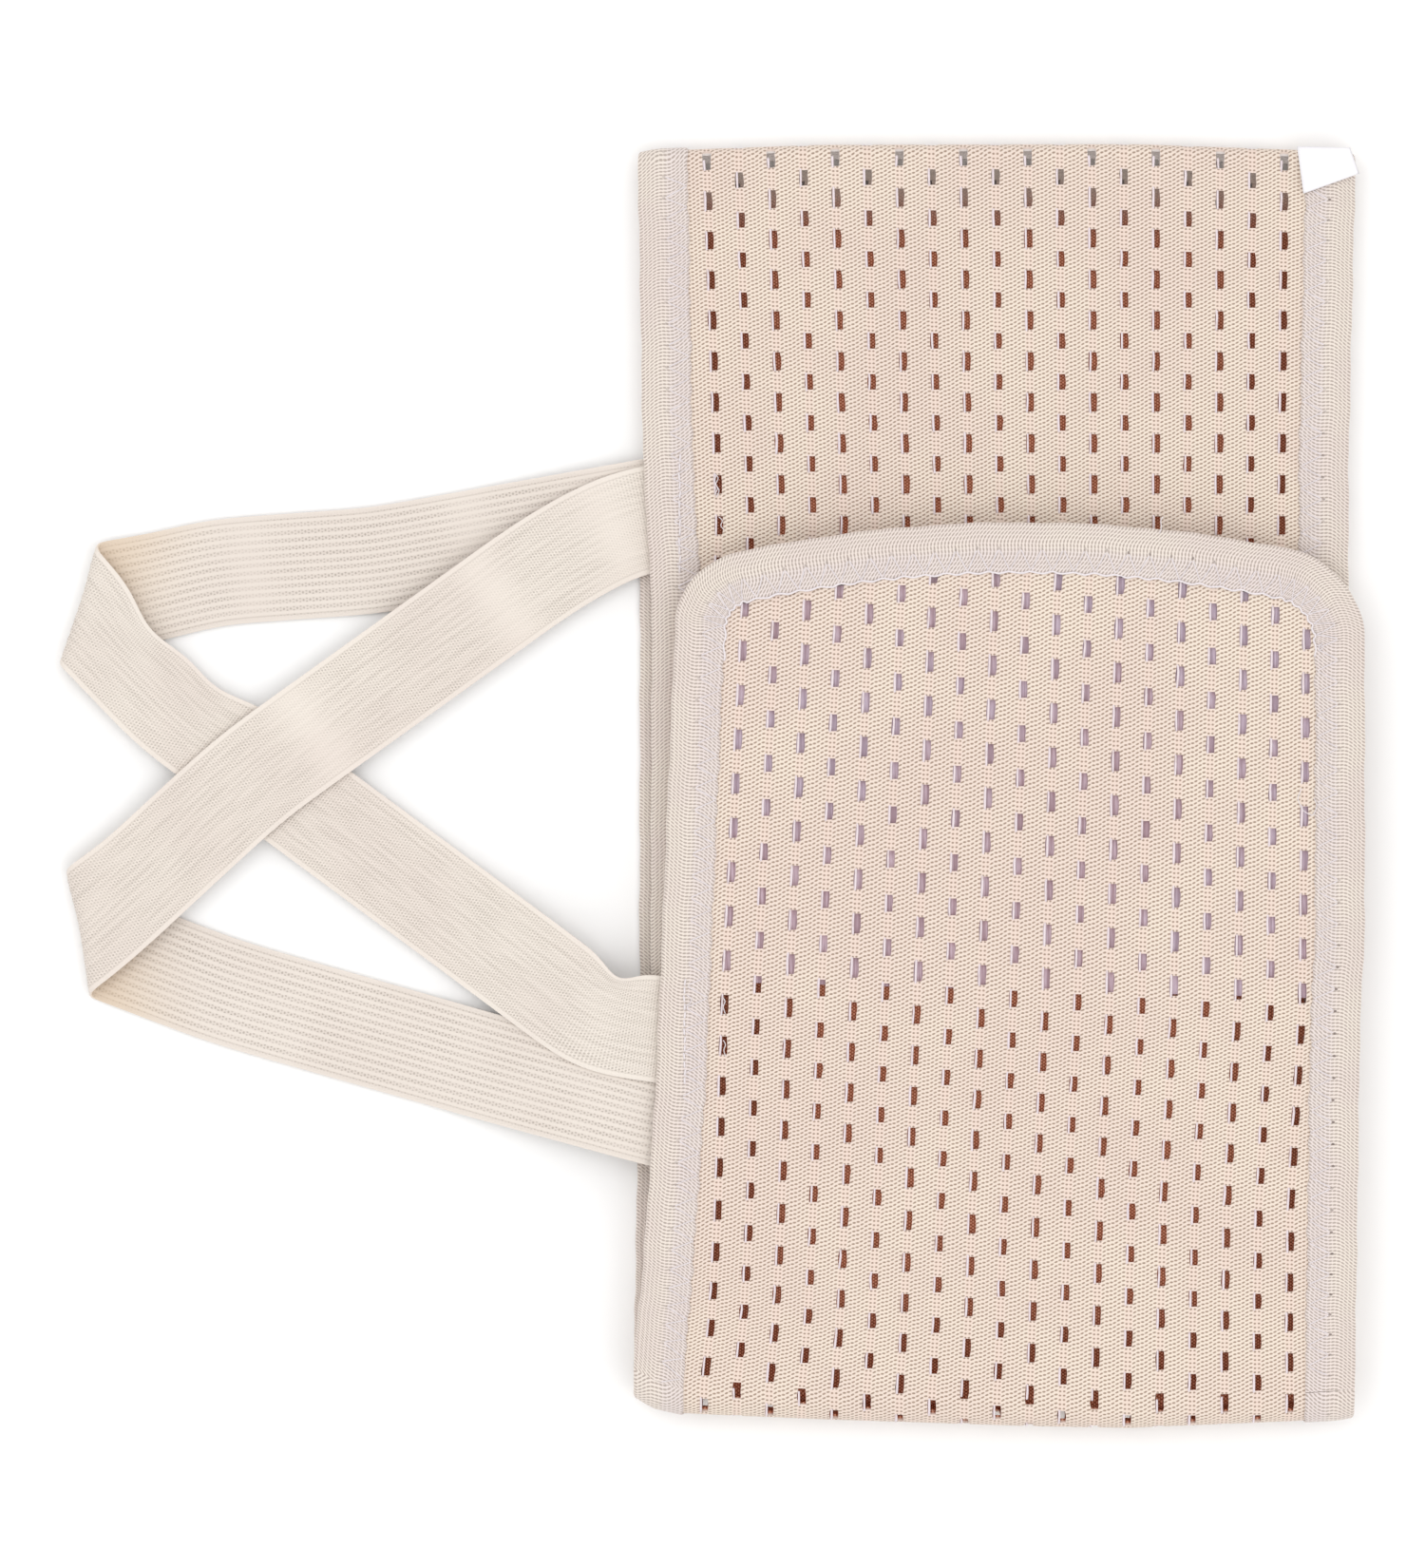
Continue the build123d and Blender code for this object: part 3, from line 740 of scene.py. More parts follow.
def panel_piece(stretches, name, material, inside=None):
    """The perforated elastic of one or more stretches that follow each other, as one closed sheet."""
    grids = [panel_grid(stretch) for stretch in stretches]
    grids = [grids[0]] + [tuple(values[1:] for values in grid) for grid in grids[1:]]
    rows, t, points, outside, uv = (np.concatenate(values) for values in zip(*grids))
    column, offset, side, _ = grid_columns()
    row_count, line_count = t.shape
    middle_rows = (rows[1:] + rows[:-1]) / 2
    opening = np.flatnonzero((side[:-1] == 0) & (offset[:-1] == -HOLE_HALF_WIDTH))
    hole = np.zeros((row_count - 1, line_count - 1), bool)
    for i in opening:
        even = column[i] % 2 == 0
        half = EVEN_HALF if even else ODD_HALF
        hole[:, i] = from_hole(middle_rows, even) < half
        tip = np.abs(from_hole(rows, even) - half) < 0.01
        points[tip, i, 0] += HOLE_TIP
        points[tip, i + 1, 0] -= HOLE_TIP
    corners = np.stack([t[1:, 1:], t[:-1, 1:], t[1:, :-1], t[:-1, :-1]])
    keep = corners.max(0) - corners.min(0) > 1e-9
    if inside is not None:
        middle = (points[1:, 1:] + points[:-1, :-1]) / 2
        keep &= inside(middle[..., 0], middle[..., 1])
    solid = keep & ~hole
    lost = hole & keep
    near = np.zeros(t.shape, bool)
    for dj in (0, 1):
        for di in (0, 1):
            near[dj : row_count - 1 + dj, di : line_count - 1 + di] |= lost
    points[..., 0] += rng.normal(0, HOLE_UNEVEN, t.shape) * near
    outer = (points + outside * (PANEL_HALF - HOLE_ROUND * near)[..., None]).reshape(-1, 3)
    inner = (points - outside * PANEL_HALF).reshape(-1, 3)
    total = t.size
    verts = np.concatenate([outer, inner])
    uv = np.tile(uv.reshape(-1, 2), (2, 1))
    # depth is 0 on the outer face and 1 on the inner one, which carries the painted shade and glow seen
    # through the holes.
    depth = np.repeat([0.0, 1.0], total)
    # The points round each hole are marked for a painted paler highlight on the rim.
    painted_rim_highlight = np.tile(near.reshape(-1), 2).astype(float)
    index = np.arange(total).reshape(t.shape)
    js, ks = np.nonzero(solid)
    a, b, c, d = index[js, ks], index[js + 1, ks], index[js + 1, ks + 1], index[js, ks + 1]
    faces = [np.stack([a, b, c, d], 1), np.stack([a, d, c, b], 1) + total]
    padded = np.pad(solid, 1)
    for dj, dk, start, end in ((0, -1, b, a), (0, 1, d, c), (1, 0, c, b), (-1, 0, a, d)):
        neighbour = padded[1 + dj + js, 1 + dk + ks]
        p, q = start[~neighbour], end[~neighbour]
        faces.append(np.stack([p, q, q + total, p + total], 1))
    faces = np.concatenate(faces)
    used = np.unique(faces)
    renumber = np.full(2 * total, -1)
    renumber[used] = np.arange(len(used))
    attributes = {"depth": depth[used], "painted_rim_highlight": painted_rim_highlight[used]}
    return new_object(name, warp(verts[used]), renumber[faces], [material], uv[used], attributes, sharp=40)


def yarn_piece(stretches, name, material, inside=None):
    """The white yarns that run along the left side of every hole, on the outside face."""
    parts = Parts()
    for stretch in stretches:
        for column in range(COLUMNS):
            shift = 0.0 if column % 2 == 0 else 0.5
            half = EVEN_HALF if column % 2 == 0 else ODD_HALF
            lowest = math.ceil(stretch.row(0.0, column) - shift)
            highest = math.floor(stretch.row(1.0, column) - shift)
            for middle in range(lowest, highest + 1):
                reach = rng.uniform(1.1, 1.3)
                rows = middle + shift + np.array([-1.0, -0.85, -0.35, 0.35, 0.85, 1.0]) * half * reach
                t = np.clip(stretch.share(rows, column), 0, 1)
                y, z, ny, nz = stretch.place(t)
                edge_y = stretch.edge_y(y)
                bend = np.array([0.12, 0.0, -0.05, 0.0, 0.05, 0.12]) * rng.normal(0, 1)
                x = stretch.column_x(edge_y, column) + YARN_SHIFT + rng.normal(0, 0.08) + bend
                if inside is not None and not inside(x[2:3], y[2:3])[0]:
                    continue
                if np.ptp(t) < 0.5 * 2 * half / (stretch.last - stretch.first):
                    continue
                if stretch.flat:
                    left = edge_x(stretch.left, edge_y)
                    right = edge_x(stretch.right, edge_y)
                    z = z + relief(stretch.name, x, y, left, right)
                height = PANEL_HALF + np.array([-0.3, -0.08, -0.12, -0.12, -0.08, -0.3])
                points = np.stack([x, y + ny * height, z + nz * height], 1)
                radius = np.array([0.14, 0.3, 0.34, 0.34, 0.3, 0.14]) * rng.uniform(0.85, 1.1)
                parts.tube(points, radius, 6, 0.8, (0, ny[2], nz[2]))
    parts.verts = [warp(v) for v in parts.verts]
    return parts.build(name, [material])


# ---------------------------------------------------------------- outlines of the rounded ends
def circle_through(a, b, c):
    """Centre and radius of the circle through three points."""
    (ax, ay), (bx, by), (cx, cy) = a, b, c
    d = 2 * (ax * (by - cy) + bx * (cy - ay) + cx * (ay - by))
    sa, sb, sc = ax * ax + ay * ay, bx * bx + by * by, cx * cx + cy * cy
    ux = (sa * (by - cy) + sb * (cy - ay) + sc * (ay - by)) / d
    uy = (sa * (cx - bx) + sb * (ax - cx) + sc * (bx - ax)) / d
    return (ux, uy), math.hypot(ax - ux, ay - uy)


def arc(centre, radius, start, end):
    """Points along an arc, clockwise from start to end in radians."""
    count = max(3, int(abs(start - end) * radius / TRACK_STEP))
    angles = np.linspace(start, end, count)
    return [(centre[0] + radius * math.cos(a), centre[1] + radius * math.sin(a)) for a in angles]


def corner_centre(side, sign, top_centre, top_radius, radius):
    """Centre of the corner circle that touches a side edge and the top arc from inside."""
    y = side[-1][0] - radius
    for _ in range(20):
        x = float(edge_x(side, y)) + sign * radius
        y = top_centre[1] + math.sqrt((top_radius - radius) ** 2 - (x - top_centre[0]) ** 2)
    return x, y


def end_outline(left, right, peak):
    """The outer edge of a rounded end from its lower left round to its lower right, closely spaced."""
    top_left = (left[-1][1], left[-1][0])
    top_right = (right[-1][1], right[-1][0])
    centre, radius = circle_through(top_left, peak, top_right)
    lc = corner_centre(left, 1, centre, radius, LEFT_CORNER_R)
    rc = corner_centre(right, -1, centre, radius, RIGHT_CORNER_R)
    left_angle = math.atan2(lc[1] - centre[1], lc[0] - centre[0])
    right_angle = math.atan2(rc[1] - centre[1], rc[0] - centre[0])
    ys = np.arange(BOTTOM_Y, lc[1], TRACK_STEP)
    points = [(float(edge_x(left, y)), float(y)) for y in ys]
    points += arc(lc, LEFT_CORNER_R, math.pi, left_angle)[1:-1]
    points += arc(centre, radius, left_angle, right_angle)
    points += arc(rc, RIGHT_CORNER_R, right_angle, 0.0)[1:-1]
    ys = np.arange(rc[1], BOTTOM_Y, -TRACK_STEP)
    points += [(float(edge_x(right, y)), float(y)) for y in ys]
    points.append((right[0][1], BOTTOM_Y))
    return np.array(points)


def inward_normals(points):
    """Unit vectors into the belt from points that run clockwise round its edge."""
    along = np.gradient(points, axis=0)
    along /= np.linalg.norm(along, axis=1)[:, None]
    return np.stack([along[:, 1], -along[:, 0]], 1)


def sides_at(outline, y):
    """The x of an outline's left and right side at y."""
    peak = int(np.argmax(outline[:, 1]))
    left = np.interp(y, outline[:peak, 1], outline[:peak, 0])
    right = np.interp(-y, -outline[peak:, 1], outline[peak:, 0])
    return left, right


def inside_of(outline, inset):
    """A test for being inside an outline that is open at the bottom, at least inset from it."""
    moved = outline + inward_normals(outline) * inset

    def test(x, y):
        left, right = sides_at(moved, y)
        return (x > left) & (x < right) & (y < moved[:, 1].max())

    return test


# ---------------------------------------------------------------- bindings and their seams
def tape_section():
    """The binding's section as a closed loop: over the top, round the edge, underneath and back inside."""
    under = [(d, -h) for d, h in reversed(TAPE_TOP)]
    inside_low = [(d, -h) for d, h in reversed(TAPE_INSIDE)]
    return np.array([*TAPE_TOP, *under, *inside_low, *TAPE_INSIDE])


class Track:
    """A line along the belt's edge: points, inward directions, outside directions and the length so far."""

    def __init__(self, points, inward, outside, start=0.0):
        self.points, self.inward, self.outside = points, inward, outside
        steps = np.linalg.norm(np.diff(points, axis=0), axis=1)
        self.run = start + np.concatenate([[0], np.cumsum(steps)])

    def at(self, run, inset, height):
        """A point at that length along the track, that far in from the edge and that far out of the cloth."""
        point, inward, outside = (
            np.array([np.interp(run, self.run, values[:, i]) for i in range(3)])
            for values in (self.points, self.inward, self.outside)
        )
        return point + inward * inset + outside * height


def end_track(outline, z, outside):
    points = np.column_stack([outline, np.full(len(outline), z)])
    inward = np.column_stack([inward_normals(outline), np.zeros(len(outline))])
    return Track(points, inward, np.tile([0, 0, outside], (len(outline), 1)).astype(float))


def side_track(stretches, side, start=0.0):
    """A track along one side edge over stretches that follow each other; side is 1 for the left edge."""
    chunks = []
    for number, stretch in enumerate(stretches):
        count = int((stretch.last - stretch.first) * ROW_PITCH / TRACK_STEP) if stretch.flat else 24
        t = np.linspace(0, 1, count + 1)[0 if number == 0 else 1 :]
        y, z, ny, nz = stretch.place(t)
        edge = stretch.left if side > 0 else stretch.right
        x = edge_x(edge, np.clip(y, BOTTOM_Y, CENTRE_Y))
        zero = np.zeros_like(x)
        inward = np.stack([zero + side, zero, zero], 1)
        chunks.append((np.stack([x, y, z], 1), inward, np.stack([zero, ny, nz], 1)))
    points, inward, outside = (np.concatenate(c) for c in zip(*chunks))
    return Track(points, inward, outside, start)


def binding_piece(track, name, material):
    """A tape folded over the belt's edge along a track, its inner edges drawn in by the zigzag seam."""
    section = tape_section()
    count = len(section)
    runs = track.run
    wobble = 0.12 * np.sin(runs * 0.21 + 1.0) + 0.08 * np.sin(runs * 0.53)
    ends = np.clip(np.minimum(runs - runs[0], runs[-1] - runs) / 15, 0, 1)
    drawn = 0.28 * np.cos(2 * math.pi * runs / ZIGZAG_PERIOD)
    verts, uv = [], []
    for i in range(len(runs)):
        inset = section[:, 0] + (wobble[i] * ends[i])
        inset = inset + drawn[i] * ends[i] * np.clip((section[:, 0] - 11) / 3, 0, 1)
        point = track.points[i] + np.outer(inset, track.inward[i]) + np.outer(section[:, 1], track.outside[i])
        verts.append(point)
        uv.append(np.stack([section[:, 0], np.full(count, runs[i])], 1))
    faces = []
    for i in range(len(runs) - 1):
        for k in range(count):
            m = (k + 1) % count
            faces.append((i * count + k, i * count + m, (i + 1) * count + m, (i + 1) * count + k))
    verts, uv = np.concatenate(verts), np.concatenate(uv)
    half, inner = len(TAPE_TOP), len(TAPE_INSIDE)
    for cap, flip in ((range(count), True), (range(len(verts) - count, len(verts)), False)):
        cap = list(cap)
        top = cap[:half] + cap[2 * half + inner :]
        under = cap[half : 2 * half + inner]
        bridge = [cap[half - 1], cap[half], cap[2 * half + inner - 1], cap[2 * half + inner]]
        for loop in (top, under, bridge):
            faces.append(tuple(reversed(loop)) if flip else tuple(loop))
    return new_object(name, warp(verts), faces, [material], uv, sharp=60)


def surface_height(inset):
    """Height of the binding's outer surface over the panel's middle, at that distance from its edge."""
    ds, hs = zip(*sorted(TAPE_TOP))
    return float(np.interp(inset, ds, hs))


def zigzag(parts, track, start, end):
    """The zigzag seam along a track: a thread that dives at every needle point."""
    first = math.ceil(start / ZIGZAG_PERIOD)
    last = math.floor(end / ZIGZAG_PERIOD)
    up = tuple(track.outside[len(track.run) // 2])
    insets = (ZIGZAG_OUTER, ZIGZAG_INNER, ZIGZAG_OUTER)
    for n in range(first, last):
        marks = [((n + share) * ZIGZAG_PERIOD, inset) for share, inset in zip((0.0, 0.5, 1.0), insets)]
        for (r0, d0), (r1, d1) in zip(marks, marks[1:]):
            points = []
            for t in (0.02, 0.12, 0.35, 0.65, 0.88, 0.98):
                dive = -0.28 if t in (0.02, 0.98) else 0.06 + 0.07 * math.sin(math.pi * t)
                inset = d0 + (d1 - d0) * t
                points.append(track.at(r0 + (r1 - r0) * t, inset, surface_height(inset) + dive))
            parts.tube(warp(points), THREAD_R * rng.uniform(0.8, 1.1), 5, 0.8, up)


def edge_thread(parts, track):
    """The raised thread along the binding's inner edge round a rounded end, drawn in at every stitch."""
    middle = track.run[-1] / 2
    points = []
    for run in np.arange(middle - EDGE_THREAD_REACH, middle + EDGE_THREAD_REACH, 0.9):
        turn = 2 * math.pi * run / ZIGZAG_PERIOD
        inset = BINDING_W + 0.1 + 0.3 * math.cos(turn) + rng.normal(0, 0.05)
        points.append(track.at(run, inset, 1.22 + 0.14 * math.sin(turn)))
    parts.tube(warp(points), EDGE_THREAD_R, 6, 0.8)


# ---------------------------------------------------------------- shoulder straps
STRAP_W = 30.0
STRAP_HALF = 0.45
STRAP_LINES = 57  # grid lines across
STRAP_STILL_Y = 0.058  # in metres: the upper of the two places passed to fold for each strap
STRAP_MOVED_Y = -0.055  # and the lower one
RIB_PITCH = 2.14
STRAP_WORN = (26.0, 64.0, 128.0)  # along a strap, where its marks are rubbed faint
TABLE_LEVEL = 0.8
# Each strap's run out from the front and its run back to the flap, both in plan, the place and direction of
# its turn, heights as (x, z), and which of its faces is up on the run out.
# A pull is a spot in plan, how far the cloth is drawn there, how wide that reaches, and whether only the
# returning run is drawn.
STRAP_A = {
    "out_route": [(-4, 80), (-95, 63.8), (-140, 60.6)],
    "back_route": [(-152, 22.5), (-32, -66), (-4, -70)],
    "edge": (-178.13, 52.8),
    "direction": (-0.33, -0.944),
    "out_heights": [(-190, TABLE_LEVEL), (-75, TABLE_LEVEL), (-24, 3.4), (0, 3.4)],
    "back_heights": [(-190, 5.6), (-165, 5.0), (-130, 4.0), (-80, 4.0), (-19, 13.7), (0, 13.7)],
    "ribbed_up": True,
    "pulls": [
        ((-174.0, 70.0), (-1.0, 0.8, 1.0), 17.0, False),
        ((-152.0, 48.0), (-4.0, -2.4, 0.6), 18.0, True),
        ((-136.0, 32.0), (-2.6, -2.2, 0.3), 16.0, True),
        ((-25.0, -49.0), (-0.5, -3.2, 0.4), 8.0, True),
    ],
    "spread": 6.0,
}
STRAP_B = {
    "out_route": [(-3, 78), (-25, 74.5), (-45, 63.4), (-130, 2.5)],
    "back_route": [(-160, -49.5), (-138, -58), (-66, -78.5), (-4, -95)],
    "edge": (-178.6, -40.2),
    "direction": (0.14, -0.99),
    "out_heights": [(-190, 5.6), (-168, 5.6), (-150, 5.9), (-70, 5.5), (-24, 4.6), (0, 4.6)],
    "back_heights": [(-190, TABLE_LEVEL), (-85, TABLE_LEVEL), (-19, 12.5), (0, 12.5)],
    "ribbed_up": False,
    "pulls": [((-181.0, -25.0), (-1.6, 0.4, 0.0), 15.0, False)],
    "spread": 8.0,
}


def height_at(heights, x):
    """Height at x, level at each end of every slope."""
    out = np.full(np.shape(x), float(heights[0][1]))
    for (x0, z0), (x1, z1) in zip(heights, heights[1:]):
        out = out + (z1 - z0) * smoothstep(x, x0, x1)
    return out


def smooth_route(points, spread, step=1.5):
    """Even points along a route whose corners are rounded by averaging; the end runs stay straight."""
    points = np.array(points, float)
    first, last = points[0] - points[1], points[-1] - points[-2]
    reach = 4 * spread
    before = points[0] + first / np.linalg.norm(first) * reach
    after = points[-1] + last / np.linalg.norm(last) * reach
    padded = np.vstack([before, points, after])
    runs = np.concatenate([[0], np.cumsum(np.linalg.norm(np.diff(padded, axis=0), axis=1))])
    even = np.arange(0, runs[-1], step)
    line = np.stack([np.interp(even, runs, padded[:, i]) for i in (0, 1)], 1)
    window = np.exp(-0.5 * (np.arange(-int(reach / step), int(reach / step) + 1) * step / spread) ** 2)
    window /= window.sum()
    smooth = np.stack([np.convolve(line[:, i], window, "valid") for i in (0, 1)], 1)
    return smooth


def strap_piece(name, strap):
    """A strap as one sheet: laid out flat, rolled over along its turn, then given thickness and ribs."""
    out_heights, back_heights = strap["out_heights"], strap["back_heights"]
    faces_up = (STRAP_RIBBED, STRAP_DOTTED)
    top, under = faces_up if strap["ribbed_up"] else faces_up[::-1]
    t = np.array(strap["direction"], float)
    t /= np.linalg.norm(t)
    o = np.array([t[1], -t[0]])
    radius = abs(back_heights[0][1] - out_heights[0][1]) / 2
    rising = 1 if back_heights[0][1] > out_heights[0][1] else -1
    middle = np.array(strap["edge"]) - o * (radius + STRAP_HALF)
    roll = math.pi * radius
    unfolded = [p + o * (roll - 2 * float((p - middle) @ o)) for p in np.array(strap["back_route"], float)]
    route = smooth_route([*strap["out_route"], middle, *unfolded], strap["spread"])
    along = np.gradient(route, axis=0)
    along /= np.linalg.norm(along, axis=1)[:, None]
    side = np.stack([-along[:, 1], along[:, 0]], 1)
    lines = STRAP_LINES
    widths = np.linspace(-STRAP_W / 2, STRAP_W / 2, lines)
    flat = route[:, None, :] + side[:, None, :] * widths[None, :, None]
    q = (flat - middle) @ o
    angle = np.clip(q, 0, roll) / radius
    shift = np.where(q <= 0, 0.0, np.where(q < roll, radius * np.sin(angle) - q, roll - 2 * q))
    plan = flat + shift[..., None] * o
    z_out = height_at(out_heights, plan[..., 0])
    z_back = height_at(back_heights, plan[..., 0])
    share = (1 - np.cos(angle)) / 2
    z = np.where(q <= 0, z_out, np.where(q < roll, z_out + (z_back - z_out) * share, z_back))
    surface = np.dstack([plan, z])
    for spot, pull, reach, returning in strap["pulls"]:
        far = np.linalg.norm(plan - np.array(spot), axis=2) / reach
        weight = np.exp(-far * far * 2.2) * (share if returning else 1)
        surface = surface + weight[..., None] * np.array(pull)
    da = np.gradient(surface, axis=0)
    dw = np.gradient(surface, axis=1)
    normal = np.cross(da, dw)
    normal /= np.linalg.norm(normal, axis=2)[..., None]
    edge_thin = 1 - 0.4 * (np.abs(widths) > STRAP_W / 2 - 0.3)
    rib = np.cos(2 * math.pi * widths / RIB_PITCH)
    ribs_up = rib * (0.07 if top is STRAP_RIBBED else 0.03)
    ribs_down = rib * (0.07 if under is STRAP_RIBBED else 0.03)
    upper = surface + normal * ((STRAP_HALF + ribs_up) * edge_thin)[None, :, None]
    lower = surface - normal * ((STRAP_HALF + ribs_down) * edge_thin)[None, :, None]
    count = len(route)
    verts = np.concatenate([upper.reshape(-1, 3), lower.reshape(-1, 3)])
    runs = np.concatenate([[0], np.cumsum(np.linalg.norm(np.diff(route, axis=0), axis=1))])
    uv_one = np.stack(np.broadcast_arrays(widths[None, :], runs[:, None]), -1).reshape(-1, 2)
    # The face that lies inside the roll is marked near the turn, for the warm painted shade there.
    near_turn = np.exp(-((np.where(q > roll, q - roll, np.minimum(q, 0)) / 16.0) ** 2)).reshape(-1)
    faces_in = [near_turn, 0 * near_turn] if rising > 0 else [0 * near_turn, near_turn]
    inner_side = np.concatenate(faces_in)
    kept = np.ones(count)
    for place in STRAP_WORN:
        kept *= 1 - 0.6 * np.exp(-(((runs - place) / 7.0) ** 2))
    kept = np.tile(np.repeat(kept, lines), 2)
    top_faces, other_faces = closed_sheet(count, lines)
    kinds = np.repeat([0, 1], [len(top_faces), len(other_faces)])
    faces = np.concatenate([top_faces, other_faces])
    attributes = {"painted_roll_shade": inner_side, "kept": kept}
    obj = new_object(name, verts, faces, [top, under], np.tile(uv_one, (2, 1)), attributes, kinds, sharp=50)
    return obj, float(runs[-1])


# ---------------------------------------------------------------- the object
PANEL = panel_material()
BINDING = binding_material()
STRAP_RIBBED = strap_material("strap_elastic_ribbed", True)
STRAP_DOTTED = strap_material("strap_elastic_dotted", False)
THREAD = thread_material()
YARN = yarn_material()
HOOK = hook_material()
LOOP = loop_material()
SATIN = label_material()

BELT = belt_stretches()
OUTER_OUTLINE = end_outline(OUTER_LEFT, OUTER_RIGHT, OUTER_PEAK)
INNER_OUTLINE = end_outline(INNER_LEFT, INNER_RIGHT, INNER_PEAK)


def lay(piece, body, slot, *nodes):
    """Puts a piece on a body, in the place of these CAD nodes. slot is not used."""
    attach(piece, body)
    if nodes:
        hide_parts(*nodes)
    return piece


def fold(piece, start, end, slot, *nodes):
    """Bakes a piece's placement into its mesh and hides these CAD nodes; the piece goes on no body. start and
    end are not used.
    """
    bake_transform(piece)
    if nodes:
        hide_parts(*nodes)
    return piece


def plain_plies():
    """The back and front plies, their yarns, and the centre fold that joins them."""
    back = panel_piece([BELT["back"]], "panel_back_cloth", PANEL)
    front = panel_piece([BELT["centre_fold"], BELT["front"]], "panel_front_cloth", PANEL)
    back_yarn = yarn_piece([BELT["back"]], "ladder_yarn_back", YARN)
    front_yarn = yarn_piece([BELT["centre_fold"], BELT["front"]], "ladder_yarn_front", YARN)
    lay(back, "back_half", "perforated_elastic", "panel_back")
    lay(front, "back_half", "perforated_elastic", "panel_front", "panel_centre_fold")
    for yarn in (back_yarn, front_yarn):
        lay(yarn, "back_half", "white_thread")
    return back, front, back_yarn, front_yarn


def end_plies():
    """The two rounded ends that open as the flap."""
    made = []
    for name, outline in (("inner_end", INNER_OUTLINE), ("outer_end", OUTER_OUTLINE)):
        cloth_inside = inside_of(outline, PANEL_EDGE_HIDDEN)
        yarn_inside = inside_of(outline, YARN_EDGE_HIDDEN)
        piece = panel_piece([BELT[name]], f"panel_{name}_cloth", PANEL, cloth_inside)
        yarn = yarn_piece([BELT[name]], f"ladder_yarn_{name}", YARN, yarn_inside)
        made.append(lay(piece, "front_flap", "perforated_elastic", f"panel_{name}"))
        made.append(lay(yarn, "front_flap", "white_thread"))
    return made


def bend_plies():
    """The cloth of the two bottom bends, and the yarns of the outer one."""
    made = []
    for name, low, high in (("inner_bend", Z_FRONT, Z_INNER), ("outer_bend", Z_BACK, Z_OUTER)):
        piece = panel_piece([BELT[name]], f"panel_{name}_cloth", PANEL)
        ends = (0, 0, (low + PANEL_STILL) * MM), (0, 0, (high - PANEL_STILL) * MM)
        made.append(fold(piece, *ends, "perforated_elastic", f"panel_{name}"))
    yarn = yarn_piece([BELT["outer_bend"]], "ladder_yarn_outer_bend", YARN)
    ends = (0, 0, (Z_BACK + YARN_STILL) * MM), (0, 0, (Z_OUTER - YARN_STILL) * MM)
    return [*made, fold(yarn, *ends, "white_thread")]


def bindings_and_seams():
    """Every binding, and the zigzag seams that hold them. Gives each binding's piece and track by name."""
    made = {}
    seams = {name: Parts() for name in ("front", "back", "inner_end", "outer_end")}
    for side, word in ((1, "left"), (-1, "right")):
        for name, places in (("back", ["back"]), ("front", ["centre_fold", "front"])):
            track = side_track([BELT[place] for place in places], side)
            piece = binding_piece(track, f"binding_{name}_{word}_tape", BINDING)
            nodes = [f"binding_{place}_{word}" for place in reversed(places)]
            lay(piece, "back_half", "binding_tape", *nodes)
            made[f"{name}_{word}"] = (piece, track)
            unsewn = SEAM_START if name == "front" else 0
            zigzag(seams[name], track, track.run[0] + unsewn, track.run[-1])
        for name, low, high in (("inner_bend", Z_FRONT, Z_INNER), ("outer_bend", Z_BACK, Z_OUTER)):
            track = side_track([BELT[name]], side)
            piece = binding_piece(track, f"binding_{name}_{word}_tape", BINDING)
            gap = TAPE_STILL[name]
            ends = (0, 0, (low + gap) * MM), (0, 0, (high - gap) * MM)
            fold(piece, *ends, "binding_tape", f"binding_{name}_{word}")
            made[f"{name}_{word}"] = (piece, track)
    ends = (("inner_end", INNER_OUTLINE, Z_INNER, -1), ("outer_end", OUTER_OUTLINE, Z_OUTER, 1))
    for name, outline, z, outside in ends:
        track = end_track(outline, z, outside)
        piece = binding_piece(track, f"binding_{name}_tape", BINDING)
        lay(piece, "front_flap", "binding_tape", f"binding_{name}")
        made[name] = (piece, track)
        zigzag(seams[name], track, track.run[0], track.run[-1])
        if name == "outer_end":
            edge_thread(seams[name], track)
    for name, parts in seams.items():
        seam = parts.build(f"seam_{name}_thread", [THREAD])
        body = "front_flap" if name.endswith("end") else "back_half"
        nodes = [] if name == "back" else [f"seam_{name}"]
        lay(seam, body, "white_thread", *nodes)
    return made


def anchor_seams():
    """The straight stitches that hold the straps' ends."""
    stitch = ((0.0, -0.25), (0.2, 0.2), (0.5, 0.3), (0.8, 0.2), (1.0, -0.25))
    for node, body in (("anchor_seam_front", "back_half"), ("anchor_seam_flap", "front_flap")):
        parts = Parts()
        low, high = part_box(node)
        x, z = (low.x + high.x) / 2 / MM, low.z / MM
        edges = np.linspace(low.y / MM, high.y / MM, STITCHES + 1)
        for n, (start, end) in enumerate(zip(edges + 0.25, edges[1:] - 0.25)):
            lean = 0.25 * math.sin(n * 1.7)
            points = [(x + lean * s, start + (end - start) * s, z + rise) for s, rise in stitch]
            parts.tube(points, STITCH_R, 6, 0.8)
        seam = parts.build(f"{node}_thread", [THREAD])
        lay(seam, body, "white_thread", node)


def thread_ends(name, ends, body):
    """Loose ends of sewing thread that lie on the cloth."""
    parts = Parts()
    for route, height in ends:
        curve = smooth_route(route, 0.5, 0.3)
        share = np.linspace(0, 1, len(curve))
        z = height + 0.12 + 0.25 * np.sin(math.pi * share) + 0.08 * np.sin(9 * share)
        parts.tube(warp(np.column_stack([curve, z])), LOOSE_END_R, 5)
    lay(parts.build(name, [THREAD]), body, "white_thread")


